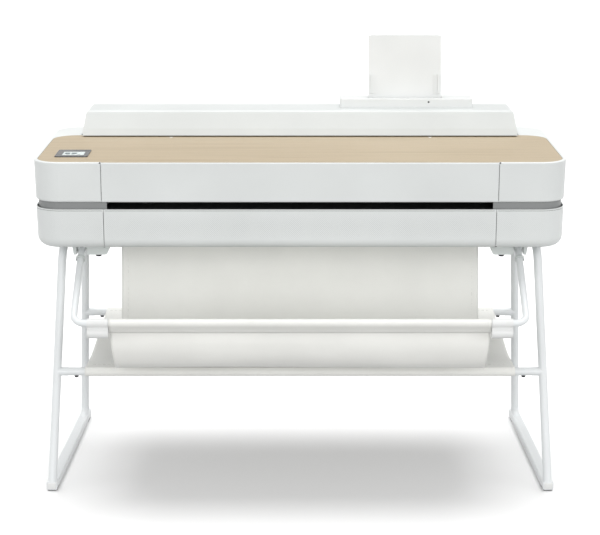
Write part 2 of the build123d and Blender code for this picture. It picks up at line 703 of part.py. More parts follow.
export_step(front_window.part, "parts/front_window.step")

# pins of the front window, and the ink door's rod
with BuildPart() as hinge_pins:
    for side in (-1, 1):
        with BuildSketch(Plane.YZ.offset(side * UPPER_SEAM_X)):
            with Locations((WINDOW_PIVOT_Y, WINDOW_PIVOT_Z)):
                Circle(PIN_RADIUS)
        extrude(amount=PIN_HALF_LENGTH, both=True)
    with BuildSketch(Plane.YZ.offset(HINGE_SPOTS[0] - 8)):
        with Locations((DOOR_PIVOT_Y, DOOR_PIVOT_Z)):
            Circle(DOOR_ROD_RADIUS)
    extrude(amount=HINGE_SPOTS[1] - HINGE_SPOTS[0] + 14)
hinge_pins.part.label = "hinge_pins"
export_step(hinge_pins.part, "parts/hinge_pins.step")

with BuildPart() as wood_top_panel:
    with BuildSketch(Plane.XY.offset(DECK_Z)):
        with Locations((0, WOOD_MID_Y)):
            RectangleRounded(WOOD_WIDTH, WOOD_DEPTH, WOOD_CORNER)
    extrude(amount=TOP_Z - DECK_Z)
    fillet(wood_top_panel.edges().group_by(Axis.Z)[-1], 0.8)
wood_top_panel.part.label = "wood_top_panel"
export_step(wood_top_panel.part, "parts/wood_top_panel.step")

with BuildPart() as display_bezel:
    with BuildSketch(Plane.XY.offset(TOP_Z)):
        with Locations((DISPLAY_X, DISPLAY_Y)):
            RectangleRounded(DISPLAY_WIDTH, DISPLAY_DEPTH, 5)
    extrude(amount=BEZEL_HEIGHT)
    fillet(display_bezel.edges().group_by(Axis.Z)[-1], 0.8)
    with Locations((SCREEN_X, SCREEN_Y, TOP_Z + BEZEL_HEIGHT)):
        Box(SCREEN_WIDTH + 0.6, SCREEN_DEPTH + 0.6, BEZEL_HEIGHT, mode=Mode.SUBTRACT)
display_bezel.part.label = "display_bezel"
export_step(display_bezel.part, "parts/display_bezel.step")

with BuildPart() as display_screen:
    with Locations((SCREEN_X, SCREEN_Y, TOP_Z + BEZEL_HEIGHT / 2 + 0.5)):
        Box(SCREEN_WIDTH, SCREEN_DEPTH, 1.0)
display_screen.part.label = "display_screen"
export_step(display_screen.part, "parts/display_screen.step")

# ------------------------------------------------------------ roll bay, roll and cover
POST_INNER_X = 500.0
BRACKET_INNER_X = 552.0
with BuildPart() as roll_bay_tray:
    with Locations((0, BAY_MID_Y, BAY_MID_Z)):
        Box(2 * BAY_HALF, BAY_REAR_Y - BAY_FRONT_Y, BAY_TOP_Z - BAY_BOTTOM_Z)
    with Locations((0, BAY_MID_Y, BAY_MID_Z + WALL)):
        Box(
            2 * (BAY_HALF - WALL),
            BAY_REAR_Y - BAY_FRONT_Y - 2 * WALL,
            BAY_TOP_Z - BAY_BOTTOM_Z,
            mode=Mode.SUBTRACT,
        )
    for side in (-1, 1):
        # cradle post with a half-round notch for the spindle
        with Locations((side * (POST_INNER_X + 4), ROLL_Y, (BAY_BOTTOM_Z + 2 + ROLL_Z) / 2)):
            Box(8, 40, ROLL_Z - BAY_BOTTOM_Z - 2)
        with BuildSketch(Plane.YZ.offset(side * (POST_INNER_X - 2))):
            with Locations((ROLL_Y, ROLL_Z)):
                Circle(SPINDLE_RADIUS + RUNNING_GAP)
        extrude(amount=side * 12, mode=Mode.SUBTRACT)
        # hinge bracket with its pin
        with BuildSketch(Plane.YZ.offset(side * BRACKET_INNER_X)):
            with Locations((BAY_REAR_Y - WALL / 2, (850 + COVER_PIVOT_Z) / 2)):
                Rectangle(WALL, COVER_PIVOT_Z - 850)
            with Locations((COVER_PIVOT_Y - 1.2, COVER_PIVOT_Z)):
                Circle(4.2)
        extrude(amount=side * 6)
        with BuildSketch(Plane.YZ.offset(side * BRACKET_INNER_X)):
            with Locations((COVER_PIVOT_Y, COVER_PIVOT_Z)):
                Circle(COVER_PIN_RADIUS)
        extrude(amount=-side * 14)
roll_bay_tray.part.label = "roll_bay_tray"
export_step(roll_bay_tray.part, "parts/roll_bay_tray.step")

with BuildPart() as roll_spindle:
    with BuildSketch(Plane.YZ):
        with Locations((ROLL_Y, ROLL_Z)):
            Circle(SPINDLE_RADIUS)
    extrude(amount=KNOB_INNER_X + KNOB_LENGTH, both=True)
    for side in (-1, 1):
        # hub: a plug in the paper core and a flange beside the roll
        with BuildSketch(Plane.YZ.offset(side * (ROLL_HALF + 0.4))):
            with Locations((ROLL_Y, ROLL_Z)):
                Circle(HUB_RADIUS)
        extrude(amount=side * 5)
        with BuildSketch(Plane.YZ.offset(side * (ROLL_HALF + 0.4))):
            with Locations((ROLL_Y, ROLL_Z)):
                Circle(CORE_RADIUS - 0.4)
        extrude(amount=-side * 30)
        # end knob
        with BuildSketch(Plane.YZ.offset(side * KNOB_INNER_X)):
            with Locations((ROLL_Y, ROLL_Z)):
                Circle(KNOB_RADIUS)
        extrude(amount=side * KNOB_LENGTH)
roll_spindle.part.label = "roll_spindle"
export_step(roll_spindle.part, "parts/roll_spindle.step")

with BuildPart() as paper_roll:
    with BuildSketch(Plane.YZ):
        with Locations((ROLL_Y, ROLL_Z)):
            Circle(ROLL_RADIUS)
            Circle(CORE_RADIUS, mode=Mode.SUBTRACT)
    extrude(amount=ROLL_HALF, both=True)
paper_roll.part.label = "paper_roll"
export_step(paper_roll.part, "parts/paper_roll.step")

# long cover with a slanted front and ends that lean in
with BuildPart() as roll_cover:
    with BuildSketch(Plane.YZ):
        with BuildLine():
            Polyline(
                (COVER_FRONT_Y, COVER_BOTTOM_Z),
                COVER_LIP,
                (COVER_SLOPE_TOP_Y, COVER_TOP_Z),
                (COVER_REAR_Y, COVER_TOP_Z),
                (COVER_REAR_Y, COVER_BOTTOM_Z),
                close=True,
            )
        make_face()
    extrude(amount=COVER_HALF, both=True)
    for side in (-1, 1):
        end_plane = Plane(origin=(side * COVER_HALF, 220, COVER_BOTTOM_Z + 8), z_dir=(side * 60, 0, 9))
        split(bisect_by=end_plane, keep=Keep.BOTTOM)
    cover_top = roll_cover.faces().sort_by(Axis.Z)[-1]
    fillet(cover_top.edges(), COVER_ROUND)
    offset(amount=-COVER_WALL, openings=roll_cover.faces().sort_by(Axis.Z)[0])
    for side in (-1, 1):
        # notch round the hinge bracket
        with Locations((side * (BRACKET_INNER_X + 3), COVER_PIVOT_Y, 876)):
            Box(9, 16, 18, mode=Mode.SUBTRACT)
        # knuckle on the pin
        with BuildSketch(Plane.YZ.offset(side * (BRACKET_INNER_X - 2))):
            with Locations((COVER_PIVOT_Y, COVER_PIVOT_Z)):
                Circle(5)
            with Locations((COVER_PIVOT_Y, COVER_PIVOT_Z + 6)):
                Rectangle(8, 12)
            with Locations((COVER_PIVOT_Y, COVER_PIVOT_Z)):
                Circle(COVER_PIN_RADIUS + RUNNING_GAP, mode=Mode.SUBTRACT)
        extrude(amount=-side * 10)
        with BuildSketch(Plane.YZ.offset(side * BRACKET_INNER_X)):
            with Locations((COVER_PIVOT_Y, COVER_PIVOT_Z)):
                Circle(COVER_PIN_RADIUS + RUNNING_GAP)
        extrude(amount=-side * 15, mode=Mode.SUBTRACT)
roll_cover.part.label = "roll_cover"
export_step(roll_cover.part, "parts/roll_cover.step")

# ------------------------------------------------------------ sheet feeder
FEEDER_MID_X = (FEEDER_LEFT_X + FEEDER_RIGHT_X) / 2
with BuildPart() as feeder_base:
    with Locations((FEEDER_MID_X, FEEDER_MID_Y, (COVER_TOP_Z + FEEDER_TOP_Z) / 2)):
        Box(FEEDER_RIGHT_X - FEEDER_LEFT_X, FEEDER_DEPTH, FEEDER_TOP_Z - COVER_TOP_Z)
    fillet(feeder_base.edges().filter_by(Axis.Z), 6)
    fillet(feeder_base.faces().sort_by(Axis.Z)[-1].edges(), 3)
    # well for the tray, and bores for its trunnions
    with Locations((TRAY_X, TRAY_PIVOT_Y, FEEDER_TOP_Z)):
        Box(2 * TRAY_HALF + 3, 24, 44, mode=Mode.SUBTRACT)
    for side in (-1, 1):
        with BuildSketch(Plane.YZ.offset(TRAY_X + side * TRAY_HALF)):
            with Locations((TRAY_PIVOT_Y, TRAY_PIVOT_Z)):
                Circle(TRUNNION_RADIUS + RUNNING_GAP)
        extrude(amount=side * 10, mode=Mode.SUBTRACT)
feeder_base.part.label = "feeder_base"
export_step(feeder_base.part, "parts/feeder_base.step")

lean = math.radians(TRAY_LEAN)
tray_plane = Plane(
    origin=(TRAY_X, TRAY_PIVOT_Y, TRAY_PIVOT_Z), x_dir=(1, 0, 0), z_dir=(0, -math.cos(lean), math.sin(lean))
)
with BuildPart() as feeder_tray:
    with BuildSketch(tray_plane):
        with Locations((0, TRAY_LENGTH / 2 - 3)):
            RectangleRounded(2 * TRAY_HALF, TRAY_LENGTH + 6, 3)
    extrude(amount=3, both=True)
    # pocket for the extension
    with BuildSketch(tray_plane):
        with Locations((0, 20 + TRAY_LENGTH / 2)):
            Rectangle(2 * TRAY_HALF - 12, TRAY_LENGTH)
    extrude(amount=1.6, both=True, mode=Mode.SUBTRACT)
    with BuildSketch(Plane.YZ.offset(TRAY_X)):
        with Locations((TRAY_PIVOT_Y, TRAY_PIVOT_Z)):
            Circle(TRUNNION_RADIUS)
    extrude(amount=TRAY_HALF + 7, both=True)
feeder_tray.part.label = "feeder_tray"
export_step(feeder_tray.part, "parts/feeder_tray.step")

with BuildPart() as feeder_extension:
    with BuildSketch(tray_plane):
        with Locations((0, 22 + (TRAY_LENGTH - 21) / 2)):
            Rectangle(2 * TRAY_HALF - 13, TRAY_LENGTH - 21)
    extrude(amount=1.2, both=True)
feeder_extension.part.label = "feeder_extension"
export_step(feeder_extension.part, "parts/feeder_extension.step")

for side, hand in ((-1, "left"), (1, "right")):
    with BuildPart() as feeder_guide:
        with BuildSketch(tray_plane.offset(3.3)):
            with Locations((side * GUIDE_OFFSET, 46)):
                Rectangle(14, 52)
        extrude(amount=1.6)
        with BuildSketch(tray_plane.offset(3.3)):
            with Locations((side * (GUIDE_OFFSET + 5.5), 46)):
                Rectangle(3, 52)
        extrude(amount=10)
    feeder_guide.part.label = f"feeder_guide_{hand}"
    export_step(feeder_guide.part, f"parts/feeder_guide_{hand}.step")

# ------------------------------------------------------------ print mechanism
with BuildPart() as side_plates:
    for side in (-1, 1):
        with BuildSketch(Plane.YZ.offset(side * PLATE_X)):
            with Locations((DRIVE_PLATE_Y, DRIVE_PLATE_Z)):
                RectangleRounded(344, 204, 12)
            with Locations((-195, 650)):
                Rectangle(80, 120, mode=Mode.SUBTRACT)
            with Locations((FEED_Y, FEED_Z)):
                Circle(FEED_SHAFT_RADIUS + RUNNING_GAP, mode=Mode.SUBTRACT)
            with Locations((EXIT_Y, EXIT_Z)):
                Circle(EXIT_SHAFT_RADIUS + RUNNING_GAP, mode=Mode.SUBTRACT)
        extrude(amount=side * PLATE_THICK)
        # inner flange that carries a belt pulley
        with Locations((side * (PLATE_X - 24), BELT_Y + 12, BELT_Z)):
            Box(48, 4, 30)
        with BuildSketch(Plane.XZ.offset(-BELT_Y)):
            with Locations((side * BELT_HALF, BELT_Z)):
                Circle(MOTOR_SHAFT_RADIUS + RUNNING_GAP)
        extrude(amount=-20, mode=Mode.SUBTRACT)
side_plates.part.label = "side_plates"
export_step(side_plates.part, "parts/side_plates.step")

RIB_TOP_Z = PLATEN_TOP_Z - 6
with BuildPart() as platen:
    for plate_front_y, plate_rear_y in ((-232.0, -151.0), (-129.0, 6.0)):
        with Locations((0, (plate_front_y + plate_rear_y) / 2, PLATEN_TOP_Z - 3)):
            Box(980, plate_rear_y - plate_front_y, 6)
        for rib in range(RIB_COUNT):
            rib_x = RIB_FIRST_X + RIB_PITCH * rib
            with Locations((rib_x, (plate_front_y + plate_rear_y) / 2, (RIB_BOTTOM_Z + RIB_TOP_Z) / 2)):
                Box(4, plate_rear_y - plate_front_y, RIB_TOP_Z - RIB_BOTTOM_Z)
    for rib in range(RIB_COUNT):
        with Locations((RIB_FIRST_X + RIB_PITCH * rib, -113, 712)):
            Box(4, 238, 14)
platen.part.label = "platen"
export_step(platen.part, "parts/platen.step")

with BuildPart() as carriage_rail:
    with BuildSketch(Plane.YZ):
        with Locations((RAIL_Y, RAIL_Z)):
            Circle(SLIDE_RAIL_RADIUS)
    extrude(amount=PLATE_X, both=True)
carriage_rail.part.label = "carriage_rail"
export_step(carriage_rail.part, "parts/carriage_rail.step")

with BuildPart() as carriage:
    with Locations((CARRIAGE_X, CARRIAGE_BODY_Y, CARRIAGE_BODY_Z)):
        Box(2 * CARRIAGE_HALF, 98, 78)
    fillet(carriage.edges().filter_by(Axis.Z), 6)
    # printhead nose below the housing
    with Locations((CARRIAGE_X, CARRIAGE_BODY_Y, CARRIAGE_BODY_Z - 42)):
        Box(70, 50, 8)
    # bearing block round the rail, with a clamp for the belt's lower run
    with Locations((CARRIAGE_X, CARRIAGE_BODY_Y + 71, CARRIAGE_BODY_Z + 20)):
        Box(80, 46, 34)
    with Locations((CARRIAGE_X, 50, 796.5)):
        Box(20, 6, 22)
    for jaw_z in (787.0, 792.6):
        with Locations((CARRIAGE_X, 59, jaw_z)):
            Box(20, 16, 2.6)
    with BuildSketch(Plane.YZ.offset(CARRIAGE_X)):
        with Locations((RAIL_Y, RAIL_Z)):
            Circle(SLIDE_RAIL_RADIUS + RUNNING_GAP)
    extrude(amount=60, both=True, mode=Mode.SUBTRACT)
carriage.part.label = "carriage"
export_step(carriage.part, "parts/carriage.step")

with BuildPart() as carriage_belt:
    with BuildSketch(Plane.XZ.offset(-BELT_Y - 4)):
        with Locations((0, BELT_Z)):
            SlotCenterToCenter(2 * BELT_HALF, 2 * BELT_RADIUS)
            SlotCenterToCenter(2 * BELT_HALF, 2 * BELT_RADIUS - 3, mode=Mode.SUBTRACT)
    extrude(amount=8)
carriage_belt.part.label = "carriage_belt"
export_step(carriage_belt.part, "parts/carriage_belt.step")

for side, pulley_name in ((-1, "belt_pulley"), (1, "idler_pulley")):
    with BuildPart() as pulley:
        with BuildSketch(Plane.XZ.offset(-BELT_Y - 5)):
            with Locations((side * BELT_HALF, BELT_Z)):
                Circle(BELT_RADIUS - 1.9)
        extrude(amount=10)
        with BuildSketch(Plane.XZ.offset(-BELT_Y - 5)):
            with Locations((side * BELT_HALF, BELT_Z)):
                Circle(MOTOR_SHAFT_RADIUS)
        extrude(amount=-13)
    pulley.part.label = pulley_name
    export_step(pulley.part, f"parts/{pulley_name}.step")

# feed roller with its gear on the left end
with BuildPart() as feed_roller:
    with BuildSketch(Plane.YZ):
        with Locations((FEED_Y, FEED_Z)):
            Circle(FEED_RADIUS)
    extrude(amount=FEED_HALF, both=True)
    with BuildSketch(Plane.YZ):
        with Locations((FEED_Y, FEED_Z)):
            Circle(FEED_SHAFT_RADIUS)
    extrude(amount=SHAFT_HALF, both=True)
    gear_root = GEAR_MODULE * (GEAR_TEETH / 2 - 1.25)
    with BuildSketch(Plane.YZ.offset(GEAR_X)):
        with Locations((FEED_Y, FEED_Z)):
            Circle(gear_root)
            with PolarLocations(0, GEAR_TEETH):
                with Locations((gear_root + 1.0, 0)):
                    Trapezoid(1.5, 2.2, 80, rotation=-90)
    extrude(amount=GEAR_WIDTH)
feed_roller.part.label = "feed_roller"
export_step(feed_roller.part, "parts/feed_roller.step")

# two identical motors: one drives the belt, one the feed roller
with BuildPart() as drive_motors:
    with BuildSketch(Plane.XZ.offset(-BELT_Y - 15)):
        with Locations((-BELT_HALF, BELT_Z)):
            Circle(MOTOR_RADIUS)
            Circle(MOTOR_SHAFT_RADIUS + RUNNING_GAP, mode=Mode.SUBTRACT)
    extrude(amount=-MOTOR_LENGTH)
    with BuildSketch(Plane.YZ.offset(-604)):
        with Locations((FEED_Y + GEAR_SPACING, FEED_Z)):
            Circle(MOTOR_RADIUS)
            Circle(MOTOR_SHAFT_RADIUS + RUNNING_GAP, mode=Mode.SUBTRACT)
    extrude(amount=MOTOR_LENGTH)
drive_motors.part.label = "drive_motors"
export_step(drive_motors.part, "parts/drive_motors.step")

with BuildPart() as feed_pinion:
    pinion_root = GEAR_MODULE * (PINION_TEETH / 2 - 1.25)
    half_tooth = 180 / PINION_TEETH
    with BuildSketch(Plane.YZ.offset(GEAR_X)):
        with Locations((FEED_Y + GEAR_SPACING, FEED_Z)):
            Circle(pinion_root)
            with PolarLocations(0, PINION_TEETH, start_angle=half_tooth):
                with Locations((pinion_root + 0.9, 0)):
                    Trapezoid(1.6, 2.1, 78, rotation=-90)
    extrude(amount=GEAR_WIDTH)
    with BuildSketch(Plane.YZ.offset(GEAR_X)):
        with Locations((FEED_Y + GEAR_SPACING, FEED_Z)):
            Circle(MOTOR_SHAFT_RADIUS)
    extrude(amount=50)
feed_pinion.part.label = "feed_pinion"
export_step(feed_pinion.part, "parts/feed_pinion.step")

with BuildPart() as pinch_rollers:
    with BuildSketch(Plane.YZ):
        with Locations((FEED_Y, FEED_Z + PINCH_RISE)):
            Circle(2.5)
    extrude(amount=484, both=True)
    for roller in range(PINCH_COUNT):
        with BuildSketch(Plane.YZ.offset(-420 + 120 * roller)):
            with Locations((FEED_Y, FEED_Z + PINCH_RISE)):
                Circle(PINCH_RADIUS)
        extrude(amount=30, both=True)
pinch_rollers.part.label = "pinch_rollers"
export_step(pinch_rollers.part, "parts/pinch_rollers.step")

with BuildPart() as exit_roller:
    with BuildSketch(Plane.YZ):
        with Locations((EXIT_Y, EXIT_Z)):
            Circle(EXIT_RADIUS)
    extrude(amount=EXIT_HALF, both=True)
    with BuildSketch(Plane.YZ):
        with Locations((EXIT_Y, EXIT_Z)):
            Circle(EXIT_SHAFT_RADIUS)
    extrude(amount=SHAFT_HALF, both=True)
exit_roller.part.label = "exit_roller"
export_step(exit_roller.part, "parts/exit_roller.step")

# cutter rail, clear above the paper path, and the sled that hangs on it
with BuildPart() as cutter_rail:
    with BuildSketch(Plane.YZ):
        with Locations((CUTTER_Y, CUTTER_Z)):
            Rectangle(8, 14)
    extrude(amount=PLATE_X, both=True)
cutter_rail.part.label = "cutter_rail"
export_step(cutter_rail.part, "parts/cutter_rail.step")

with BuildPart() as cutter_sled:
    with Locations((CUTTER_SLED_X, CUTTER_Y, CUTTER_Z - 12)):
        Box(40, 26, 50)
    fillet(cutter_sled.edges().filter_by(Axis.Z), 4)
    with Locations((CUTTER_SLED_X, CUTTER_Y, CUTTER_Z)):
        Box(60, 8.8, 14.8, mode=Mode.SUBTRACT)
cutter_sled.part.label = "cutter_sled"
export_step(cutter_sled.part, "parts/cutter_sled.step")

with BuildPart() as service_station:
    with Locations((STATION_X, STATION_Y, STATION_Z)):
        Box(124, 92, 78)
    with Locations((STATION_X, STATION_Y, STATION_Z + 8)):
        Box(114, 82, 78, mode=Mode.SUBTRACT)
service_station.part.label = "service_station"
export_step(service_station.part, "parts/service_station.step")

with BuildPart() as cap_sled:
    with Locations((STATION_X, CAP_Y, STATION_Z + 35)):
        Box(96, 52, 24)
    with Locations((STATION_X - 17, CAP_Y, STATION_Z + 47), (STATION_X + 17, CAP_Y, STATION_Z + 47)):
        Box(24, 40, 6, mode=Mode.SUBTRACT)
cap_sled.part.label = "cap_sled"
export_step(cap_sled.part, "parts/cap_sled.step")

# ink bay with four pockets, each holding a cartridge that pushes in and slides out
CARTRIDGE_PITCH = 30.2
CARTRIDGE_FIRST_X = 522.7
with BuildPart() as cartridge_bay:
    with Locations((CARTRIDGE_BAY_X, CARTRIDGE_Y + 3, CARTRIDGE_BAY_Z)):
        Box(124, 80, 62)
    for pocket in range(4):
        with Locations((CARTRIDGE_FIRST_X + CARTRIDGE_PITCH * pocket, CARTRIDGE_Y + 0.5, CARTRIDGE_BAY_Z)):
            Box(27, 79, 54, mode=Mode.SUBTRACT)
cartridge_bay.part.label = "cartridge_bay"
export_step(cartridge_bay.part, "parts/cartridge_bay.step")

for pocket in range(4):
    with BuildPart() as ink_cartridge:
        with Locations((CARTRIDGE_FIRST_X + CARTRIDGE_PITCH * pocket, CARTRIDGE_Y, CARTRIDGE_BAY_Z)):
            Box(26, 74, 53)
        chamfer(ink_cartridge.faces().sort_by(Axis.Y)[0].edges(), 2)
    ink_cartridge.part.label = f"ink_cartridge_{pocket + 1}"
    export_step(ink_cartridge.part, f"parts/ink_cartridge_{pocket + 1}.step")

# ------------------------------------------------------------ electronics
with BuildPart() as main_board:
    with Locations((MAINBOARD_X, 205, MAINBOARD_Z)):
        Box(180, 160, 2)
    with Locations((MAINBOARD_X - 40, 190, MAINBOARD_Z + 5), (MAINBOARD_X + 20, 160, MAINBOARD_Z + 5)):
        Box(36, 36, 8)
    with Locations((MAINBOARD_X - 60, 240, MAINBOARD_Z + 7)):
        Box(40, 20, 12)
    # network and data sockets that reach the rear wall
    with Locations((PORT_X - 24, 292, SOCKET_Z), (PORT_X + 8, 292, SOCKET_Z)):
        Box(18, 32, 16)
    with Locations((PORT_X - 8, 279, MAINBOARD_Z + 6)):
        Box(60, 10, 14)
main_board.part.label = "main_board"
export_step(main_board.part, "parts/main_board.step")

with BuildPart() as power_supply:
    with Locations((SUPPLY_X, 225, 680)):
        Box(180, 110, 46)
    # inlet socket and switch frame on the rear wall
    with Locations((INLET_X, 295, SOCKET_Z)):
        Box(32, 30, 26)
    with Locations((INLET_X, REAR_WALL_Y, SOCKET_Z)):
        Box(24, 16, 17, mode=Mode.SUBTRACT)
    for blade_x in (-7, 0, 7):
        with Locations((INLET_X + blade_x, 302, SOCKET_Z)):
            Box(2, 14, 5)
    with Locations((SWITCH_X, 295, SOCKET_Z)):
        Box(26, 30, 30)
    with Locations((SWITCH_X, REAR_WALL_Y, SOCKET_Z)):
        Box(18, 26, 24, mode=Mode.SUBTRACT)
    with BuildSketch(Plane.YZ.offset(SWITCH_X)):
        with Locations((SWITCH_Y, SOCKET_Z)):
            Circle(1 + RUNNING_GAP)
    extrude(amount=11, both=True, mode=Mode.SUBTRACT)
power_supply.part.label = "power_supply"
export_step(power_supply.part, "parts/power_supply.step")

# rocker, tipped to off
with BuildPart() as power_switch:
    with BuildSketch(Plane.YZ.offset(SWITCH_X)):
        with BuildLine():
            Polyline(
                (SWITCH_Y - 4, SOCKET_Z - 5),
                (SWITCH_Y + 4.5, SOCKET_Z - 9.5),
                (SWITCH_Y + 3.2, SOCKET_Z),
                (SWITCH_Y + 6.5, SOCKET_Z + 9.5),
                (SWITCH_Y - 4, SOCKET_Z + 5),
                close=True,
            )
        make_face()
    extrude(amount=8.6, both=True)
    with BuildSketch(Plane.YZ.offset(SWITCH_X)):
        with Locations((SWITCH_Y, SOCKET_Z)):
            Circle(1)
    extrude(amount=10.5, both=True)
power_switch.part.label = "power_switch"
export_step(power_switch.part, "parts/power_switch.step")
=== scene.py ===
import json
import math

import bmesh
import bpy
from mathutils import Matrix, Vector, noise
from mathutils.bvhtree import BVHTree


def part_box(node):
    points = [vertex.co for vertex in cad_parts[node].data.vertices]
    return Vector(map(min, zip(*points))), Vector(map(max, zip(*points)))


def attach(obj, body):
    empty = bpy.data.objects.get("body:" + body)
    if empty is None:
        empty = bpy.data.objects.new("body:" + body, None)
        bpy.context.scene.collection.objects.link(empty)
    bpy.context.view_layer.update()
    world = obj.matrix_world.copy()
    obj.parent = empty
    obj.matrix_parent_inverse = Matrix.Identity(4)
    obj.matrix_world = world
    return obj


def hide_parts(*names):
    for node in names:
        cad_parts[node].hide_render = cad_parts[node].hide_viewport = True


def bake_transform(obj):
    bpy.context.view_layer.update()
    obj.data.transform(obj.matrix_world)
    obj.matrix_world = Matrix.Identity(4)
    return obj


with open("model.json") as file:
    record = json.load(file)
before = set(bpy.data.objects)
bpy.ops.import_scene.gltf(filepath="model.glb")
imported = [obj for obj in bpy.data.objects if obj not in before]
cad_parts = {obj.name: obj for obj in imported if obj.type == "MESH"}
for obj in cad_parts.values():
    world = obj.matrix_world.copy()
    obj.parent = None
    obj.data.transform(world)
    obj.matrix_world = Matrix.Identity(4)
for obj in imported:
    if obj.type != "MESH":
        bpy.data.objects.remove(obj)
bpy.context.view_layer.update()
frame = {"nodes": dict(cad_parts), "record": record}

TURN = 6.2832

# ---------------------------------------------------------------- materials


def linear(rgb):
    """An sRGB colour, 0 to 255, as linear light with full alpha."""
    steps = [c / 255 for c in rgb]
    return tuple(c / 12.92 if c <= 0.04045 else ((c + 0.055) / 1.055) ** 2.4 for c in steps) + (1.0,)


def shade(colour, factor):
    """A colour made lighter or darker by a factor."""
    return tuple(min(1.0, c * factor) for c in colour[:3]) + (1.0,)


class Surface:
    """One material: a Principled shader and the nodes that feed it, in object coordinates."""

    def __init__(self, name, roughness=0.5, metallic=0.0):
        self.material = bpy.data.materials.new(name)
        self.material.use_nodes = True
        self.tree = self.material.node_tree
        self.shader = self.tree.nodes["Principled BSDF"]
        self.shader.inputs["Roughness"].default_value = roughness
        self.shader.inputs["Metallic"].default_value = metallic
        self.place = self.node("ShaderNodeTexCoord").outputs["Object"]
        self.relief = None

    def node(self, kind, **settings):
        new = self.tree.nodes.new(kind)
        for key, value in settings.items():
            setattr(new, key, value)
        return new

    def join(self, source, target):
        self.tree.links.new(source, target)

    def stretched(self, scale, source=None):
        """Coordinates scaled by a different amount along each axis."""
        mapping = self.node("ShaderNodeMapping")
        mapping.inputs["Scale"].default_value = scale
        self.join(source or self.place, mapping.inputs["Vector"])
        return mapping.outputs["Vector"]

    def noise(self, scale, detail=3.0, vector=None, roughness=0.5):
        texture = self.node("ShaderNodeTexNoise")
        texture.inputs["Scale"].default_value = scale
        texture.inputs["Detail"].default_value = detail
        texture.inputs["Roughness"].default_value = roughness
        self.join(vector or self.place, texture.inputs["Vector"])
        return texture.outputs["Fac"]

    def ramp(self, factor, stops):
        """A colour ramp; stops are (position, colour)."""
        ramp = self.node("ShaderNodeValToRGB")
        band = ramp.color_ramp
        while len(band.elements) < len(stops):
            band.elements.new(0.5)
        for element, (position, colour) in zip(band.elements, stops):
            element.position = position
            element.color = colour
        self.join(factor, ramp.inputs["Fac"])
        return ramp.outputs["Color"]

    def mix(self, factor, first, second, blend_type="MIX"):
        mixer = self.node("ShaderNodeMix", data_type="RGBA", blend_type=blend_type)
        colours = [socket for socket in mixer.inputs if socket.type == "RGBA"]
        if isinstance(factor, float):
            mixer.inputs["Factor"].default_value = factor
        else:
            self.join(factor, mixer.inputs["Factor"])
        for source, socket in zip((first, second), colours):
            if isinstance(source, tuple):
                socket.default_value = source
            else:
                self.join(source, socket)
        return [socket for socket in mixer.outputs if socket.type == "RGBA"][0]

    def spread(self, factor, low, high, start=0.3, end=0.7):
        """factor, from start to end, mapped onto low to high."""
        mapped = self.node("ShaderNodeMapRange")
        mapped.inputs["From Min"].default_value = start
        mapped.inputs["From Max"].default_value = end
        mapped.inputs["To Min"].default_value = low
        mapped.inputs["To Max"].default_value = high
        self.join(factor, mapped.inputs["Value"])
        return mapped.outputs["Result"]

    def colour(self, source):
        self.join(source, self.shader.inputs["Base Color"])

    def rough(self, source):
        self.join(source, self.shader.inputs["Roughness"])

    def bump(self, height, depth, strength=1.0):
        """Adds relief, depth in metres. A second call lies on top of the first."""
        relief = self.node("ShaderNodeBump")
        relief.inputs["Strength"].default_value = strength
        relief.inputs["Distance"].default_value = depth
        self.join(height, relief.inputs["Height"])
        if self.relief:
            self.join(self.relief, relief.inputs["Normal"])
        self.relief = relief.outputs["Normal"]
        self.join(self.relief, self.shader.inputs["Normal"])

    def set(self, **values):
        for key, value in values.items():
            self.shader.inputs[key.replace("_", " ")].default_value = value


def moulded(name, rgb, roughness=0.45, grain=0.00004, pitch=0.0009, tint=0.03):
    """Moulded plastic: a fine spark-eroded grain, slow colour drift and handled, smoother patches."""
    s = Surface(name, roughness)
    base = linear(rgb)
    drift = s.noise(5.0, 4.0)
    s.colour(s.ramp(drift, [(0.3, shade(base, 1 - tint)), (0.7, shade(base, 1 + tint))]))
    s.rough(s.spread(s.noise(11.0, 5.0), roughness - 0.06, roughness + 0.06))
    s.bump(s.noise(1 / pitch, 2.0), grain, 0.6)
    s.bump(s.noise(9.0, 1.0), 0.0002, 0.25)
    return s.material


def painted(name, rgb, roughness=0.38, peel=0.00005, tint=0.02):
    """Powder-coated metal: an orange-peel skin over a slow tint."""
    s = Surface(name, roughness)
    base = linear(rgb)
    s.colour(s.ramp(s.noise(7.0, 4.0), [(0.3, shade(base, 1 - tint)), (0.7, shade(base, 1 + tint))]))
    s.rough(s.spread(s.noise(40.0, 4.0), roughness - 0.05, roughness + 0.07))
    s.bump(s.noise(420.0, 2.0, roughness=0.3), peel, 0.7)
    s.set(Coat_Weight=0.15, Coat_Roughness=0.25)
    return s.material


def metal(name, rgb, roughness=0.3, along="X"):
    """Ground steel: fine lines along one axis, with slightly duller patches."""
    s = Surface(name, roughness, 1.0)
    base = linear(rgb)
    lines = {"X": (12, 900, 900), "Y": (900, 12, 900), "Z": (900, 900, 12)}[along]
    streaks = s.noise(1.0, 3.0, s.stretched(lines))
    s.colour(s.ramp(streaks, [(0.25, shade(base, 0.82)), (0.75, shade(base, 1.1))]))
    s.rough(s.spread(s.noise(25.0, 5.0), roughness - 0.07, roughness + 0.12))
    s.bump(streaks, 0.00003, 0.5)
    return s.material


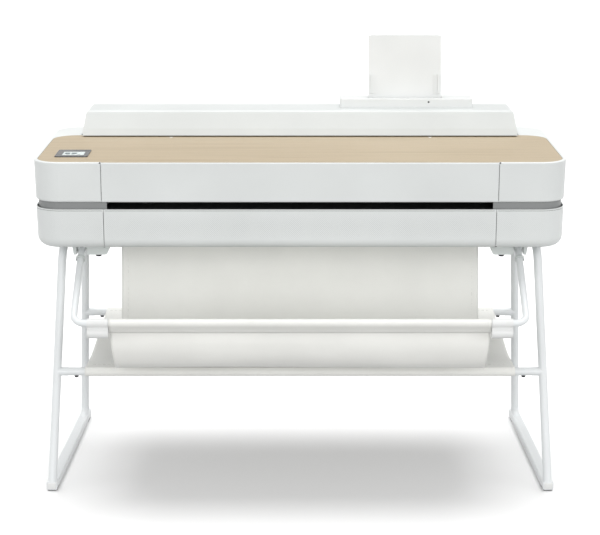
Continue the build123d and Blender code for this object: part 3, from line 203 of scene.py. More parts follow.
def rubber(name, rgb, roughness=0.75, ribs=None):
    """Matt rubber with dust in its pores, and moulded ribs where ribs gives their direction."""
    s = Surface(name, roughness)
    base = linear(rgb)
    dust = s.noise(60.0, 6.0, roughness=0.7)
    s.colour(s.ramp(dust, [(0.35, shade(base, 0.8)), (0.75, shade(base, 1.7))]))
    s.rough(s.spread(dust, roughness - 0.1, roughness + 0.1))
    s.bump(s.noise(1500.0, 2.0), 0.00004, 0.7)
    if ribs:
        wave = s.node("ShaderNodeTexWave", wave_type="BANDS", bands_direction=ribs)
        wave.inputs["Scale"].default_value = 160.0
        s.join(s.place, wave.inputs["Vector"])
        s.bump(wave.outputs["Fac"], 0.0003, 0.6)
    return s.material


def maple(name, light, dark):
    """Straight-grained pale veneer: long bands along X, fine fibres and short dark pores."""
    s = Surface(name, 0.5)
    warp = s.noise(1.6, 2.0, s.stretched((1.2, 7, 7)))
    offset = s.node("ShaderNodeVectorMath", operation="SCALE")
    offset.inputs["Scale"].default_value = 0.03
    s.join(warp, offset.inputs[0])
    bent = s.node("ShaderNodeVectorMath", operation="ADD")
    s.join(s.place, bent.inputs[0])
    s.join(offset.outputs[0], bent.inputs[1])
    bands = s.noise(1.0, 4.0, s.stretched((1.5, 62, 62), bent.outputs[0]), 0.55)
    pale, deep = linear(light), linear(dark)
    wood = s.ramp(bands, [(0.22, deep), (0.46, pale), (0.56, shade(pale, 1.05)), (0.8, deep)])
    fibres = s.noise(1.0, 3.0, s.stretched((14, 900, 900)))
    wood = s.mix(0.35, wood, s.ramp(fibres, [(0.3, (0.8, 0.78, 0.74, 1)), (0.65, (1, 1, 1, 1))]), "MULTIPLY")
    pores = s.noise(1.0, 2.0, s.stretched((55, 1500, 1500)))
    pore_mask = s.spread(pores, 1.0, 0.0, 0.24, 0.36)
    wood = s.mix(pore_mask, wood, shade(deep, 0.72))
    s.colour(wood)
    s.rough(s.spread(fibres, 0.42, 0.58))
    s.bump(fibres, 0.00005, 0.5)
    s.bump(s.spread(pores, 0.0, 1.0, 0.24, 0.36), 0.00008, 0.6)
    s.set(Coat_Weight=0.12, Coat_Roughness=0.35)
    return s.material


def woven(name, rgb, thread=0.0011, fuzz=0.35):
    """Plain-woven polyester. The cloth's UV map is in metres, across the width and along the length."""
    s = Surface(name, 0.85)
    base = linear(rgb)
    uv = s.node("ShaderNodeUVMap", uv_map="cut").outputs["UV"]
    waves = []
    for direction in ("X", "Y"):
        wave = s.node("ShaderNodeTexWave", wave_type="BANDS", bands_direction=direction)
        wave.inputs["Scale"].default_value = 1 / (thread * TURN)
        wave.inputs["Distortion"].default_value = 0.4
        wave.inputs["Detail Scale"].default_value = 3.0
        s.join(uv, wave.inputs["Vector"])
        waves.append(wave.outputs["Fac"])
    cross = s.node("ShaderNodeMath", operation="MULTIPLY")
    s.join(waves[0], cross.inputs[0])
    s.join(waves[1], cross.inputs[1])
    drift = s.noise(6.0, 5.0)
    colour = s.ramp(drift, [(0.3, shade(base, 0.97)), (0.7, shade(base, 1.03))])
    threads = s.ramp(cross.outputs[0], [(0.0, (0.86, 0.86, 0.85, 1)), (0.6, (1, 1, 1, 1))])
    colour = s.mix(0.5, colour, threads, "MULTIPLY")
    slubs = s.noise(1.0, 2.0, s.stretched((30, 900, 900)))
    colour = s.mix(s.spread(slubs, 0.0, 0.12, 0.6, 0.8), colour, shade(base, 0.8))
    s.colour(colour)
    s.bump(s.noise(35.0, 3.0), 0.0004, 0.3)
    s.bump(cross.outputs[0], 0.00018, 0.8)
    s.set(Sheen_Weight=fuzz, Sheen_Roughness=0.5)
    return s.material


def coated_paper(name, rgb):
    """Smooth printing paper, with the fine edges of its wound layers."""
    s = Surface(name, 0.7)
    base = linear(rgb)
    s.colour(s.ramp(s.noise(300.0, 6.0, roughness=0.7), [(0.3, shade(base, 0.97)), (0.7, shade(base, 1.02))]))
    layers = s.noise(1.0, 2.0, s.stretched((1, 2600, 2600)))
    s.bump(layers, 0.00006, 0.5)
    s.rough(s.spread(layers, 0.62, 0.8))
    return s.material


def display_window(name):
    """The small liquid-crystal window: pale green-grey with a fine row structure."""
    s = Surface(name, 0.12)
    rows = s.node("ShaderNodeTexWave", wave_type="BANDS", bands_direction="Y")
    rows.inputs["Scale"].default_value = 330.0
    s.join(s.place, rows.inputs["Vector"])
    glow = s.ramp(s.noise(30.0, 2.0), [(0.3, linear((206, 222, 220))), (0.7, linear((222, 234, 232)))])
    row_tint = s.ramp(rows.outputs["Fac"], [(0.2, (0.8, 0.85, 0.85, 1)), (0.6, (1, 1, 1, 1))])
    s.colour(s.mix(0.12, glow, row_tint, "MULTIPLY"))
    s.rough(s.spread(s.noise(18.0, 5.0), 0.08, 0.2))
    s.set(Coat_Weight=0.6, Coat_Roughness=0.05)
    return s.material


def circuit(name):
    """Solder mask with lighter copper tracks under it."""
    s = Surface(name, 0.35)
    tracks = s.node("ShaderNodeTexBrick")
    tracks.inputs["Scale"].default_value = 90.0
    tracks.inputs["Mortar Size"].default_value = 0.03
    tracks.inputs["Color1"].default_value = linear((16, 92, 44))
    tracks.inputs["Color2"].default_value = linear((20, 104, 52))
    tracks.inputs["Mortar"].default_value = linear((60, 140, 78))
    s.join(s.place, tracks.inputs["Vector"])
    s.colour(s.mix(s.spread(s.noise(120.0, 4.0), 0.0, 0.4), tracks.outputs["Color"], linear((10, 70, 34))))
    s.rough(s.spread(s.noise(70.0, 4.0), 0.25, 0.45))
    s.bump(tracks.outputs["Fac"], 0.00004, 0.5)
    return s.material


def floor_paint(name, rgb):
    """A plain matt studio floor, very slightly mottled."""
    s = Surface(name, 0.9)
    base = linear(rgb)
    s.colour(s.ramp(s.noise(1.5, 4.0), [(0.3, shade(base, 0.995)), (0.7, shade(base, 1.005))]))
    s.bump(s.noise(60.0, 4.0), 0.0002, 0.2)
    s.set(Specular_IOR_Level=0.1)
    return s.material


FINISH = {
    "casing_white": moulded("casing_white", (215, 218, 217), 0.42),
    "cover_white": moulded("cover_white", (203, 206, 205), 0.45),
    "feeder_white": moulded("feeder_white", (217, 219, 218), 0.4),
    "band_grey": moulded("band_grey", (132, 134, 134), 0.5),
    "wood_top": maple("wood_top", (175, 159, 132), (162, 144, 115)),
    "display_dark": moulded("display_dark", (40, 41, 43), 0.22, 0.00001),
    "display_glass": display_window("display_glass"),
    "stand_white": painted("stand_white", (226, 229, 230)),
    "bracket_grey": moulded("bracket_grey", (207, 212, 210), 0.5),
    "clip_grey": moulded("clip_grey", (226, 227, 226), 0.5),
    "cloth": woven("cloth", (239, 239, 235)),
    "pad_rubber": rubber("pad_rubber", (52, 52, 53)),
    "screw_black": metal("screw_black", (58, 58, 60), 0.35, "Z"),
    "steel": metal("steel", (196, 197, 199), 0.28),
    "sheet_steel": painted("sheet_steel", (178, 180, 183), 0.45),
    "inner_black": moulded("inner_black", (44, 45, 46), 0.5),
    "bay_grey": moulded("bay_grey", (84, 86, 88), 0.55),
    "belt_rubber": rubber("belt_rubber", (40, 40, 41), 0.7, "X"),
    "roller_rubber": rubber("roller_rubber", (70, 70, 72)),
    "gear_plastic": moulded("gear_plastic", (226, 222, 210), 0.4, 0.00002),
    "paper": coated_paper("paper", (238, 239, 241)),
    "knob_blue": moulded("knob_blue", (110, 128, 164), 0.4),
    "board_green": circuit("board_green"),
    "ink_black": moulded("ink_black", (46, 46, 48), 0.35),
    "ink_cyan": moulded("ink_cyan", (30, 146, 182), 0.35),
    "ink_magenta": moulded("ink_magenta", (186, 42, 118), 0.35),
    "ink_yellow": moulded("ink_yellow", (222, 198, 42), 0.35),
    "switch_black": moulded("switch_black", (30, 30, 31), 0.25, 0.00001),
}
SEAM_DARK = moulded("seam_dark", (120, 122, 122), 0.6)
# thin dark slabs for the rear cooling slots: painted shade inside the openings
VENT_SHADE_PAINT = moulded("painted_vent_shade", (34, 35, 36), 0.7)
# flat grey discs for the lower casing's fine holes: their grey is painted shade inside the holes
HOLE_SHADE_PAINT = moulded("perforation", (182, 185, 184), 0.6)
LIP_SHADOW = moulded("lip_shadow", (150, 152, 151), 0.6)
MARK_WHITE = moulded("mark_white", (246, 247, 246), 0.5, 0.00001)
ICON_DARK = moulded("icon_dark", (46, 66, 74), 0.3, 0.00001)
THREAD = rubber("thread", (206, 206, 200), 0.8)


def dress_frame():
    """Gives each CAD node the finish of its material slot."""
    for part in frame["record"]["subparts"]:
        node = frame["nodes"][part["node"]]
        if not node.material_slots:
            node.data.materials.append(FINISH[part["material_slot"]])
        for slot in node.material_slots:
            slot.material = FINISH[part["material_slot"]]


# ------------------------------------------------------------ mesh helpers


def new_piece(name, mesh_data, body, slot, material=None, smooth=True):
    """A finished piece from a bmesh: it gets its material and body."""
    mesh = bpy.data.meshes.new(name)
    mesh_data.to_mesh(mesh)
    mesh_data.free()
    piece = bpy.data.objects.new(name, mesh)
    bpy.context.scene.collection.objects.link(piece)
    mesh.materials.append(material or FINISH[slot])
    for polygon in mesh.polygons:
        polygon.use_smooth = smooth
    if body:
        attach(piece, body)
    return piece


def rounded_box(bm, centre, size, radius):
    """A box with rounded edges, added to bm."""
    verts = bmesh.ops.create_cube(bm, size=1.0)["verts"]
    for v in verts:
        v.co = Vector(v.co[i] * size[i] for i in range(3))
    edges = list({e for v in verts for e in v.link_edges})
    result = bmesh.ops.bevel(
        bm, geom=edges, offset=min(radius, 0.45 * min(size)), segments=3, profile=0.5, affect="EDGES"
    )
    moved = {v for f in result["faces"] for v in f.verts} | {v for v in verts if v.is_valid}
    for v in moved:
        v.co += Vector(centre)


def spokes(normal, sides):
    """Unit vectors round a normal, evenly turned."""
    across = normal.orthogonal().normalized()
    beside = normal.cross(across)
    angles = [2 * math.pi * k / sides for k in range(sides)]
    return [across * math.cos(angle) + beside * math.sin(angle) for angle in angles]


def dome(bm, centre, normal, radius, height, sides=12):
    """A low round-headed dome that sits on a surface, added to bm."""
    normal = Vector(normal).normalized()
    profile = ((1.0, 0.0), (1.0, 0.45), (0.82, 0.85), (0.4, 1.0))
    previous = None
    for share, lift in profile:
        raised = Vector(centre) + normal * height * lift
        ring = [bm.verts.new(raised + spoke * radius * share) for spoke in spokes(normal, sides)]
        if previous:
            for k in range(sides):
                bm.faces.new((previous[k], previous[k - 1], ring[k - 1], ring[k]))
        previous = ring
    bm.faces.new(reversed(previous))


def disc(bm, centre, normal, radius, sides=6):
    """A flat disc on a surface, added to bm."""
    around = spokes(Vector(normal).normalized(), sides)
    bm.faces.new([bm.verts.new(Vector(centre) + spoke * radius) for spoke in around])


def skin(node_name):
    """The surface of one CAD node, for finding where a small piece sits on it."""
    return BVHTree.FromObject(frame["nodes"][node_name], bpy.context.evaluated_depsgraph_get())


# ------------------------------------------------------------------- cloth


def smooth_path(points, step):
    """Points at an even step along a curve that runs through the given (y, z) points."""
    dense = []
    for i in range(len(points) - 1):
        before = Vector(points[max(i - 1, 0)])
        first, second = Vector(points[i]), Vector(points[i + 1])
        after = Vector(points[min(i + 2, len(points) - 1)])
        for k in range(24):
            t = k / 24
            dense.append(
                0.5
                * (
                    2 * first
                    + (second - before) * t
                    + (2 * before - 5 * first + 4 * second - after) * t**2
                    + (3 * first - before - 3 * second + after) * t**3
                )
            )
    dense.append(Vector(points[-1]))
    lengths = [0.0]
    for a, b in zip(dense, dense[1:]):
        lengths.append(lengths[-1] + (b - a).length)
    count = max(2, round(lengths[-1] / step))
    path, at = [], 0
    for k in range(count + 1):
        want = lengths[-1] * k / count
        while at < len(lengths) - 2 and lengths[at + 1] < want:
            at += 1
        share = (want - lengths[at]) / max(lengths[at + 1] - lengths[at], 1e-9)
        path.append(dense[at].lerp(dense[at + 1], share))
    return path, lengths[-1]


def arc(centre, radius, start, end, count):
    """(y, z) points on an arc, its angles in degrees from +Y towards +Z."""
    points = []
    for k in range(count + 1):
        angle = math.radians(start + (end - start) * k / count)
        points.append((centre[0] + radius * math.cos(angle), centre[1] + radius * math.sin(angle)))
    return points


def cloth_sheet(name, path, length, half_width, wrinkle, thickness, column=0.008):
    """A thin closed cloth: a grid over width and path, moved along its normals by wrinkle(x, share, s)."""
    columns = round(2 * half_width(0) / column)
    bm = bmesh.new()
    uv = bm.loops.layers.uv.new("cut")
    rows, places = [], {}
    last = len(path) - 1
    for i, point in enumerate(path):
        ahead, behind = path[min(i + 1, last)], path[max(i - 1, 0)]
        tangent = (ahead - behind).normalized()
        normal = Vector((0, -tangent[1], tangent[0]))
        share = i / last
        row = []
        for j in range(columns + 1):
            across = 2 * j / columns - 1
            x = across * half_width(share)
            lift = wrinkle(x, across, share * length)
            spot = Vector((x, point[0], point[1])) + normal * lift
            vertex = bm.verts.new(spot)
            places[vertex] = (x, share * length)
            row.append(vertex)
        rows.append(row)
    for upper, lower in zip(rows, rows[1:]):
        for j in range(columns):
            face = bm.faces.new((upper[j], upper[j + 1], lower[j + 1], lower[j]))
            for loop in face.loops:
                loop[uv].uv = places[loop.vert]
    mesh = bpy.data.meshes.new(name)
    bm.to_mesh(mesh)
    bm.free()
    piece = bpy.data.objects.new(name, mesh)
    bpy.context.scene.collection.objects.link(piece)
    mesh.materials.append(FINISH["cloth"])
    for polygon in mesh.polygons:
        polygon.use_smooth = True
    solid = piece.modifiers.new("thickness", "SOLIDIFY")
    solid.thickness = thickness
    solid.offset = 0.0
    bpy.context.view_layer.objects.active = piece
    piece.select_set(True)
    bpy.ops.object.modifier_apply(modifier=solid.name)
    piece.select_set(False)
    return piece


def clamp(value):
    """A value kept between 0 and 1."""
    return max(0.0, min(1.0, value))


def ripple(x, s, scale_x, scale_s, seed):
    """Smooth noise across and along a cloth; seed picks the pattern."""
    return noise.noise(Vector((x * scale_x, s * scale_s, seed)))


def seam(name, path, xs_or_rows, half_width, body, lift=0.0011, stitch=0.0052, gap=0.0026, radius=0.00045):
    """Stitches as short round threads. xs_or_rows is ("along", [x]) or ("across", [index])."""
    bm = bmesh.new()
    kind, values = xs_or_rows
    runs = []
    last = len(path) - 1
    if kind == "along":
        for x in values:
            run = []
            for i, point in enumerate(path):
                ahead, behind = path[min(i + 1, last)], path[max(i - 1, 0)]
                tangent = (ahead - behind).normalized()
                run.append((Vector((x, point[0], point[1])), Vector((0, -tangent[1], tangent[0]))))
            runs.append(run)
    else:
        for index in values:
            point = path[index]
            tangent = (path[min(index + 1, last)] - path[max(index - 1, 0)]).normalized()
            normal = Vector((0, -tangent[1], tangent[0]))
            xs = [half_width * (2 * k / ROW_STEPS - 1) for k in range(ROW_STEPS + 1)]
            runs.append([(Vector((x, point[0], point[1])), normal) for x in xs])
    for run in runs:
        travelled, start = 0.0, None
        for (a, normal), (b, _) in zip(run, run[1:]):
            travelled += (b - a).length
            if start is None and travelled >= gap:
                start, travelled = (b, normal), 0.0
            elif start is not None and travelled >= stitch:
                thread_between(bm, start[0], b, start[1], lift, radius)
                start, travelled = None, 0.0
    return new_piece(name, bm, body, "cloth", THREAD)


def thread_between(bm, a, b, normal, lift, radius):
    """One stitch: a four-sided thread that rises out of the cloth and goes back in."""
    direction = (b - a).normalized()
    side = direction.cross(normal).normalized()
    previous = None
    for share, height in ((0.0, -0.2), (0.2, 0.8), (0.5, 1.0), (0.8, 0.8), (1.0, -0.2)):
        centre = a.lerp(b, share) + normal * lift * height
        ring = []
        for k in range(4):
            angle = math.pi / 4 + math.pi / 2 * k
            ring.append(bm.verts.new(centre + (side * math.cos(angle) + normal * math.sin(angle)) * radius))
        if previous:
            for k in range(4):
                bm.faces.new((previous[k - 1], previous[k], ring[k], ring[k - 1]))
        else:
            bm.faces.new(ring)
        previous = ring
    bm.faces.new(reversed(previous))


CLOTH_THICK = 0.0008
BAR_RADIUS = 0.0089
SLEEVE_SLACK = 0.0014
PATH_STEP = 0.005
ROW_STEPS = 260
SHELF_HALF = 0.558
# the basket cloth from below the hanger rod to below the bail, as (y, z)
TROUGH = [
    (0.0155, 0.581),
    (0.005, 0.530),
    (-0.010, 0.470),
    (-0.030, 0.408),
    (-0.052, 0.379),
    (-0.085, 0.361),
    (-0.170, 0.345),
    (-0.228, 0.342),
    (-0.262, 0.344),
    (-0.290, 0.352),
    (-0.313, 0.371),
    (-0.327, 0.398),
    (-0.3315, 0.422),
    (-0.3285, 0.441),
    (-0.3270, 0.449),
    (-0.3300, 0.459),
]


def tube_centre(node):
    """The (y, z) centre and half the height of a node's box, for a tube or rod along X."""
    low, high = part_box(node)
    return ((low[1] + high[1]) / 2, (low[2] + high[2]) / 2), (high[2] - low[2]) / 2


def build_basket():
    """The media basket: one cloth from the hanger rod, down round the trough and over the bail."""
    rod, rod_radius = tube_centre("basket_hanger_rod")
    rod_reach = rod_radius + 0.0009
    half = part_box("basket_back")[1][0]
    bail_low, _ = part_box("bail_tube")
    bar = (bail_low[1] + BAR_RADIUS, bail_low[2] + BAR_RADIUS)

    points = [(rod[0] - 0.006, rod[1] - 0.030), (rod[0] - 0.0055, rod[1] - 0.012)]
    points += arc(rod, rod_reach, 190, -20, 8)
    points += [(rod[0] - 0.0015, rod[1] - 0.014), (rod[0] - 0.0045, rod[1] - 0.03)]
    points += TROUGH
    points += arc(bar, BAR_RADIUS + SLEEVE_SLACK, -25, 245, 18)
    points += [(bar[0] + 0.0035, bar[1] - 0.0165), (bar[0] + 0.0115, bar[1] - 0.027)]
    path, length = smooth_path(points, PATH_STEP)

    def wrinkle(x, across, s):
        edge = abs(across) ** 6
        falling = 0.0006 * math.sin(s * 21) * noise.noise(Vector((x * 2.2, s * 1.5, 3)))
        creases = 0.0018 * ripple(x, s, 3.1, 26, 11) * clamp((s - 0.16) * 7)
        slack = 0.0030 * ripple(x, s, 1.9, 5.2, 5)
        calm = clamp((length - 0.085 - s) * 18) * clamp((s - 0.05) * 18)
        return (falling + creases + slack) * calm * (1 - 0.4 * edge) + 0.0015 * edge * calm

    def half_width(share):
        """The ends of the trough are drawn in where it hangs lowest and curls up to the bail."""
        bulge = math.exp(-(((share * length - length * 0.73) / 0.085) ** 2))
        return half - 0.009 * bulge

    basket = cloth_sheet("basket_cloth", path, length, half_width, wrinkle, CLOTH_THICK)
    hems = seam("basket_hem_stitches", path[12:-22], ("along", [-half + 0.017, half - 0.017]), half, None)
    near_rod = min(range(40), key=lambda i: abs(path[i][1] - (rod[1] - 0.022)))
    for piece in (basket, hems):
        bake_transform(piece)
    rod_seam = seam("basket_rod_stitches", path, ("across", [near_rod]), half - 0.004, "root")
    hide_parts("basket_back", "basket_front")


def build_shelf():
    """The lower cloth: a sleeve round each cross tube with a slack span between them."""
    front, tube_radius = tube_centre("front_cross_tube")
    rear, _ = tube_centre("rear_cross_tube")
    reach = tube_radius + SLEEVE_SLACK
    half = SHELF_HALF
    points = [(front[0] + 0.034, front[1] - 0.010), (front[0] + 0.016, front[1] - reach * 0.95)]
    points += arc(front, reach, 285, 95, 14)
    points += [
        (front[0] + 0.05, front[1] + 0.0095),
        (front[0] + 0.14, front[1] + 0.008),
        ((front[0] + rear[0]) / 2, (front[1] + rear[1]) / 2 + 0.004),
        (rear[0] - 0.12, rear[1] + 0.001),
        (rear[0] - 0.04, rear[1] + 0.0085),
    ]
    points += arc(rear, reach, 95, -95, 14)
    points += [(rear[0] - 0.02, rear[1] - reach * 0.9), (rear[0] - 0.036, rear[1] - 0.009)]
    path, length = smooth_path(points, PATH_STEP)

    def half_width(share):
        return half - 0.010 * share

    def wrinkle(x, across, s):
        inner = clamp((s - 0.09) * 14) * clamp((length - 0.1 - s) * 14)
        sag = -0.006 * math.cos(across * math.pi / 2) * math.sin(math.pi * s / length)
        return inner * (sag + 0.0022 * ripple(x, s, 2.5, 7, 2) + 0.0008 * ripple(x, s, 4, 30, 9))

    shelf = cloth_sheet("shelf_cloth", path, length, half_width, wrinkle, CLOTH_THICK)
    rows = [
        min(range(len(path)), key=lambda i: (path[i] - Vector(place)).length)
        for place in ((front[0] + 0.026, front[1] + 0.0108), (rear[0] - 0.026, rear[1] + 0.0098))
    ]
    seams = seam("shelf_seam_stitches", path, ("across", rows), half - 0.014, "root")
    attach(shelf, "root")
    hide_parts("basket_shelf")


# ------------------------------------------------------------ small details

# the front of the lower casing, node by node, with the body each part of it moves with
LOWER_FRONT = (("lower_front_panel", "root"), ("lower_end_left", "root"), ("ink_door", "door"))
HOLE_PITCH = 0.0052
HOLE_REACH = 0.630
HOLE_RADIUS = 0.00085
LINE_LIFT = 0.00008
SEAM_WIDTH = 0.0012
SEAM_STEPS = 30
LIP_WIDTH = 0.0013
COLLAR_SIDES = 24
BOLT_X = 0.519
ARM_X = 0.5615
VENT_COUNT = 22
VENT_FIRST_X = 0.12
VENT_PITCH = 0.012


def perforate():
    """Rows of fine holes across the lower casing: a diamond grid that thins out towards its ends. Each hole
    is a flat grey disc on the surface, its grey painted shade inside the hole.
    """
    low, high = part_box("lower_front_panel")
    top, bottom = high[2] - 0.012, low[2] + 0.026
    pitch, reach = HOLE_PITCH, HOLE_REACH
    for node, body in LOWER_FRONT:
        surface = skin(node)
        part_low, part_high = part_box(node)
        bm = bmesh.new()
        rows = int((top - bottom) / (pitch / 2))
        for r in range(rows + 1):
            z = top - r * pitch / 2
            start = -reach + (pitch / 2 if r % 2 else 0)
            for c in range(int(2 * reach / pitch)):
                x = start + c * pitch
                if not part_low[0] + 0.004 < x < part_high[0] - 0.004:
                    continue
                spot, normal, _, _ = surface.ray_cast(Vector((x, -1.0, z)), Vector((0, 1, 0)))
                if spot is None or normal.y > -0.9 or spot.y > low[1] + 0.05:
                    continue
                height = (z - bottom) / (top - bottom)
                fade = 1 - 0.6 * (abs(x) / reach) ** 3
                size = HOLE_RADIUS * (0.55 + 0.45 * math.sin(math.pi * height)) * fade
                # each hole is a flat disc on the surface; its grey is painted shade, not an opening
                disc(bm, spot + normal * 0.00012, normal, size)
        new_piece(f"{node}_perforations", bm, body, "casing_white", HOLE_SHADE_PAINT, smooth=False)


def front_run(node, xs_zs, lift):
    """Points just in front of a CAD node's front face, one for each (x, z) that meets it."""
    surface = skin(node)
    run = []
    for x, z in xs_zs:
        spot, normal, _, _ = surface.ray_cast(Vector((x, -1.0, z)), Vector((0, 1, 0)))
        if spot is not None and normal.y < -0.3:
            run.append((spot + normal * lift, normal))
    return run


def ribbon(bm, run, across, width):
    """A narrow strip along a run of points, its width along the vector across."""
    previous = None
    for spot, _ in run:
        pair = [bm.verts.new(spot - across * width / 2), bm.verts.new(spot + across * width / 2)]
        if previous:
            bm.faces.new((previous[0], previous[1], pair[1], pair[0]))
        previous = pair


def mark_seams():
    """The dark joints between the casing's middle and its end caps, each with a pin's head at one end."""
    seams = (
        ("upper_end_left", -1, 0.4958, "root"),
        ("upper_end_right", 1, 0.4958, "root"),
        ("lower_end_left", -1, 0.4920, "root"),
        ("ink_door", 1, 0.4920, "door"),
    )
    for node, side, x, body in seams:
        low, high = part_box(node)
        height = high[2] - low[2] - 0.002
        zs = [low[2] + 0.001 + height * k / SEAM_STEPS for k in range(SEAM_STEPS + 1)]
        run = front_run(node, [(side * x, z) for z in zs], LINE_LIFT)
        bm = bmesh.new()
        ribbon(bm, run, Vector((1, 0, 0)), SEAM_WIDTH)
        new_piece(f"{node}_seam_line", bm, body, "casing_white", SEAM_DARK, smooth=False)
        bm = bmesh.new()
        pin_place = run[0] if "lower" in node or node == "ink_door" else run[-1]
        dome(bm, pin_place[0] + Vector((side * 0.0014, 0, 0)), pin_place[1], 0.0022, 0.0006, 12)
        new_piece(f"{node}_seam_pin", bm, body, "screw_black")


def lip_lines():
    """The fine shadow groove under the bright top lip of the lower casing."""
    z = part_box("lower_front_panel")[1][2] - 0.0035
    for node, body in LOWER_FRONT:
        low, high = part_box(node)
        steps = round((high[0] - low[0]) / 0.004)
        places = [(low[0] + (high[0] - low[0]) * k / steps, z) for k in range(1, steps)]
        bm = bmesh.new()
        ribbon(bm, front_run(node, places, LINE_LIFT), Vector((0, 0, 1)), LIP_WIDTH)
        new_piece(f"{node}_lip_line", bm, body, "casing_white", LIP_SHADOW, smooth=False)


def collars(name, centre, axis, radius, body, slot):
    """A small collar round a tube at each of two mirrored spots, its axis along the tube."""
    # share of the radius, and distance along the axis, round the collar's section
    outer = ((0.97, -0.0040), (1.0, -0.0034), (1.0, 0.0034), (0.97, 0.0040))
    profile = outer + ((0.86, 0.0040), (0.86, -0.0040))
    axis = Vector(axis).normalized()
    turn = axis.to_track_quat("Z", "Y")
    angles = [2 * math.pi * k / COLLAR_SIDES for k in range(COLLAR_SIDES)]
    bm = bmesh.new()
    for side in (-1, 1):
        middle = Vector((side * centre[0], centre[1], centre[2]))
        grid = []
        for share, along in profile:
            reach = radius * share
            ring = [Vector((math.cos(a) * reach, math.sin(a) * reach, along)) for a in angles]
            grid.append([bm.verts.new(middle + turn @ point) for point in ring])
        for k, ring in enumerate(grid):
            following = grid[(k + 1) % len(grid)]
            for m in range(COLLAR_SIDES):
                n = (m + 1) % COLLAR_SIDES
                bm.faces.new((ring[m], following[m], following[n], ring[n]))
    bmesh.ops.recalc_face_normals(bm, faces=bm.faces)
    new_piece(name, bm, body, slot)


def bracket_details():
    """The domed bolt under each stand bracket, a thin dark plate at the back of the slot its bail arm runs
    in, whose dark is painted shade inside the opening, and the arm's collar.
    """
    low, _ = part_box("stand_brackets")
    _, bail_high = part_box("bail_tube")
    bolts, shade_plates = bmesh.new(), bmesh.new()
    for side in (-1, 1):
        dome(bolts, (side * BOLT_X, low[1] + 0.011, low[2] + 0.0002), (0, 0, -1), 0.0082, 0.0065, 20)
        # a thin dark plate at the slot's back: painted shade, so that the opening reads black
        slot_back = (side * ARM_X, low[1] + 0.0705, bail_high[2] - 0.010)
        rounded_box(shade_plates, slot_back, (0.0255, 0.0020, 0.030), 0.0006)
    new_piece("bracket_bolts", bolts, "root", "screw_black")
    new_piece("bracket_slot_shade_plates", shade_plates, "root", "inner_black")
    # each arm runs down and forward from its pivot
    collars("bail_collars", (0.563, -0.1587, 0.6004), (0, -0.842, -0.540), 0.0122, "bail", "bracket_grey")


def display_icons():
    """Two plain dark symbols on the small window, with three short level bars under them."""
    low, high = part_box("display_screen")
    top = high[2] + 0.0001
    mid = ((low[0] + high[0]) / 2, (low[1] + high[1]) / 2)
    bm = bmesh.new()
    for icon_x in (-0.016, 0.001):
        rounded_box(bm, (mid[0] + icon_x, mid[1] + 0.002, top), (0.013, 0.015, 0.0003), 0.0001)
    for bar in range(3):
        rounded_box(bm, (mid[0] - 0.014 + 0.014 * bar, mid[1] - 0.014, top), (0.009, 0.0022, 0.0003), 0.0001)
    new_piece("display_icons", bm, "root", "display_dark", ICON_DARK)


def feeder_details():
    """The screw in the feeder base."""
    _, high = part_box("feeder_base")
    start = Vector((0.3515, -1.0, high[2] - 0.009))
    spot, normal, _, _ = skin("feeder_base").ray_cast(start, Vector((0, 1, 0)))
    bm = bmesh.new()
    if spot is not None:
        dome(bm, spot, normal, 0.0026, 0.0009)
    new_piece("feeder_screw", bm, "cover", "screw_black")


def cover_marks():
    """The two small white alignment marks on the wood, just in front of the roll cover's lip."""
    surface = skin("wood_top_panel")
    bm = bmesh.new()
    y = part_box("roll_cover")[0][1] - 0.008
    for x in (-0.346, 0.350):
        spot, _, _, _ = surface.ray_cast(Vector((x, y, 2.0)), Vector((0, 0, -1)))
        if spot is None:
            continue
        z = spot.z + 0.0002
        corners = [(x - 0.006, y + 0.005, z), (x + 0.006, y + 0.005, z), (x, y - 0.006, z)]
        bm.faces.new([bm.verts.new(c) for c in corners])
    new_piece("roll_alignment_marks", bm, "root", "casing_white", MARK_WHITE, smooth=False)


def rear_vents():
    """Two rows of cooling slots on the back of the lower housing, each a thin dark slab on the wall whose
    dark is painted shade inside the slot.
    """
    surface = skin("lower_housing")
    bm = bmesh.new()
    for k in range(VENT_COUNT):
        x = VENT_FIRST_X + VENT_PITCH * k
        for z in (0.700, 0.722):
            spot, normal, _, _ = surface.ray_cast(Vector((x, 1.5, z)), Vector((0, -1, 0)))
            if spot is not None and normal.y > 0.8:
                rounded_box(bm, spot + normal * 0.0001, (0.0035, 0.0005, 0.017), 0.0002)
    new_piece("rear_vents", bm, "root", "inner_black", VENT_SHADE_PAINT)


def foot_caps():
    """Moulded end plugs in the ends of both foot rails."""
    for side, out in (("left", -1), ("right", 1)):
        name = f"side_frame_{side}"
        low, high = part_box(name)
        surface = skin(name)
        bm = bmesh.new()
        for y, way in ((low[1], -1), (high[1], 1)):
            # the rails run inwards towards the rear
            rail_x = out * (0.645 - 0.032 * (y + 0.235))
            start = Vector((rail_x, y + way * 0.2, 0.014))
            spot, _, _, _ = surface.ray_cast(start, Vector((0, -way, 0)))
            if spot is None:
                continue
            rounded_box(bm, spot + Vector((0, way * 0.0008, 0)), (0.0215, 0.0024, 0.0165), 0.001)
        new_piece(f"foot_end_caps_{side}", bm, "root", "clip_grey")


# --------------------------------------------------------------- the stage


# the sky's light by the height of its direction, white along the horizon
SKY = ((-0.25, 0.40), (-0.045, 0.46), (-0.035, 1.00), (0.14, 1.00), (0.24, 0.56))
# name, azimuth from the front towards +X, elevation, angular width, and its light on a facing surface
SOFT_LIGHTS = (
    ("overhead", 180, 75, 50, 0.78),
    ("front", 0, 14, 25, 0.31),
    ("left", -62, 16, 30, 0.13),
    ("right", 58, 16, 30, 0.17),
)
FLOOR_REACH = 60.0
FLOOR_CELLS = 24


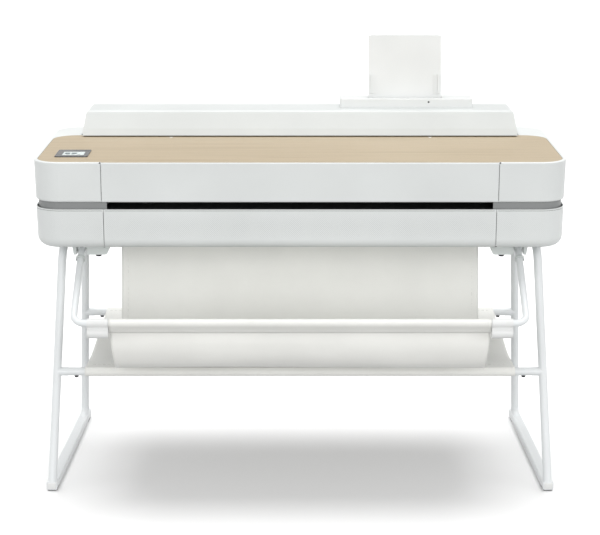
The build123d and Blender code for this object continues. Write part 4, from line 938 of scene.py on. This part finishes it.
def build_stage():
    """A pale floor, a soft light from above and a little behind, and the camera."""
    bm = bmesh.new()
    bmesh.ops.create_grid(bm, x_segments=FLOOR_CELLS, y_segments=FLOOR_CELLS, size=FLOOR_REACH)
    mesh = bpy.data.meshes.new("floor")
    bm.to_mesh(mesh)
    bm.free()
    floor = bpy.data.objects.new("floor", mesh)
    bpy.context.scene.collection.objects.link(floor)
    mesh.materials.append(floor_paint("floor_paint", (250, 250, 250)))

    # the floor keeps its own tone and shadow, but the sky's lower half stands in for its bounce
    floor.visible_diffuse = False

    world = bpy.data.worlds.new("studio")
    world.use_nodes = True
    tree = world.node_tree
    direction = tree.nodes.new("ShaderNodeTexCoord").outputs["Generated"]
    split = tree.nodes.new("ShaderNodeSeparateXYZ")
    height = tree.nodes.new("ShaderNodeMapRange")
    height.inputs["From Min"].default_value = -1.0
    fade = tree.nodes.new("ShaderNodeValToRGB")
    stops = fade.color_ramp.elements
    while len(stops) < len(SKY):
        stops.new(0.5)
    for stop, (z, light) in zip(stops, SKY):
        stop.position = (z + 1.0) / 2.0
        stop.color = (light, light, light, 1.0)
    tree.links.new(direction, split.inputs[0])
    tree.links.new(split.outputs["Z"], height.inputs["Value"])
    tree.links.new(height.outputs["Result"], fade.inputs["Fac"])
    tree.links.new(fade.outputs["Color"], tree.nodes["Background"].inputs["Strength"])
    tree.nodes["Background"].inputs["Color"].default_value = (1, 1, 1, 1)
    bpy.context.scene.world = world

    for name, azimuth, elevation, spread, share in SOFT_LIGHTS:
        data = bpy.data.lights.new(name, "SUN")
        data.energy = math.pi * share
        data.angle = math.radians(spread)
        lamp = bpy.data.objects.new(name, data)
        turn, rise = math.radians(azimuth), math.radians(elevation)
        level = Vector((math.sin(turn), -math.cos(turn), 0))
        towards = level * math.cos(rise) + Vector((0, 0, math.sin(rise)))
        lamp.rotation_euler = (-towards).to_track_quat("-Z", "Y").to_euler()
        bpy.context.scene.collection.objects.link(lamp)

    lens = bpy.data.cameras.new("camera")
    lens.lens = 105
    lens.sensor_width = 36
    camera = bpy.data.objects.new("camera", lens)
    camera.location = (0, -4.525, 1.650)
    camera.rotation_euler = (math.radians(76.2), 0, 0)
    bpy.context.scene.collection.objects.link(camera)
    bpy.context.scene.camera = camera
    # plain display colours, so that white stays white
    bpy.context.scene.view_settings.view_transform = "Standard"


dress_frame()
build_basket()
build_shelf()
perforate()
mark_seams()
lip_lines()
bracket_details()
display_icons()
feeder_details()
cover_marks()
rear_vents()
foot_caps()
build_stage()
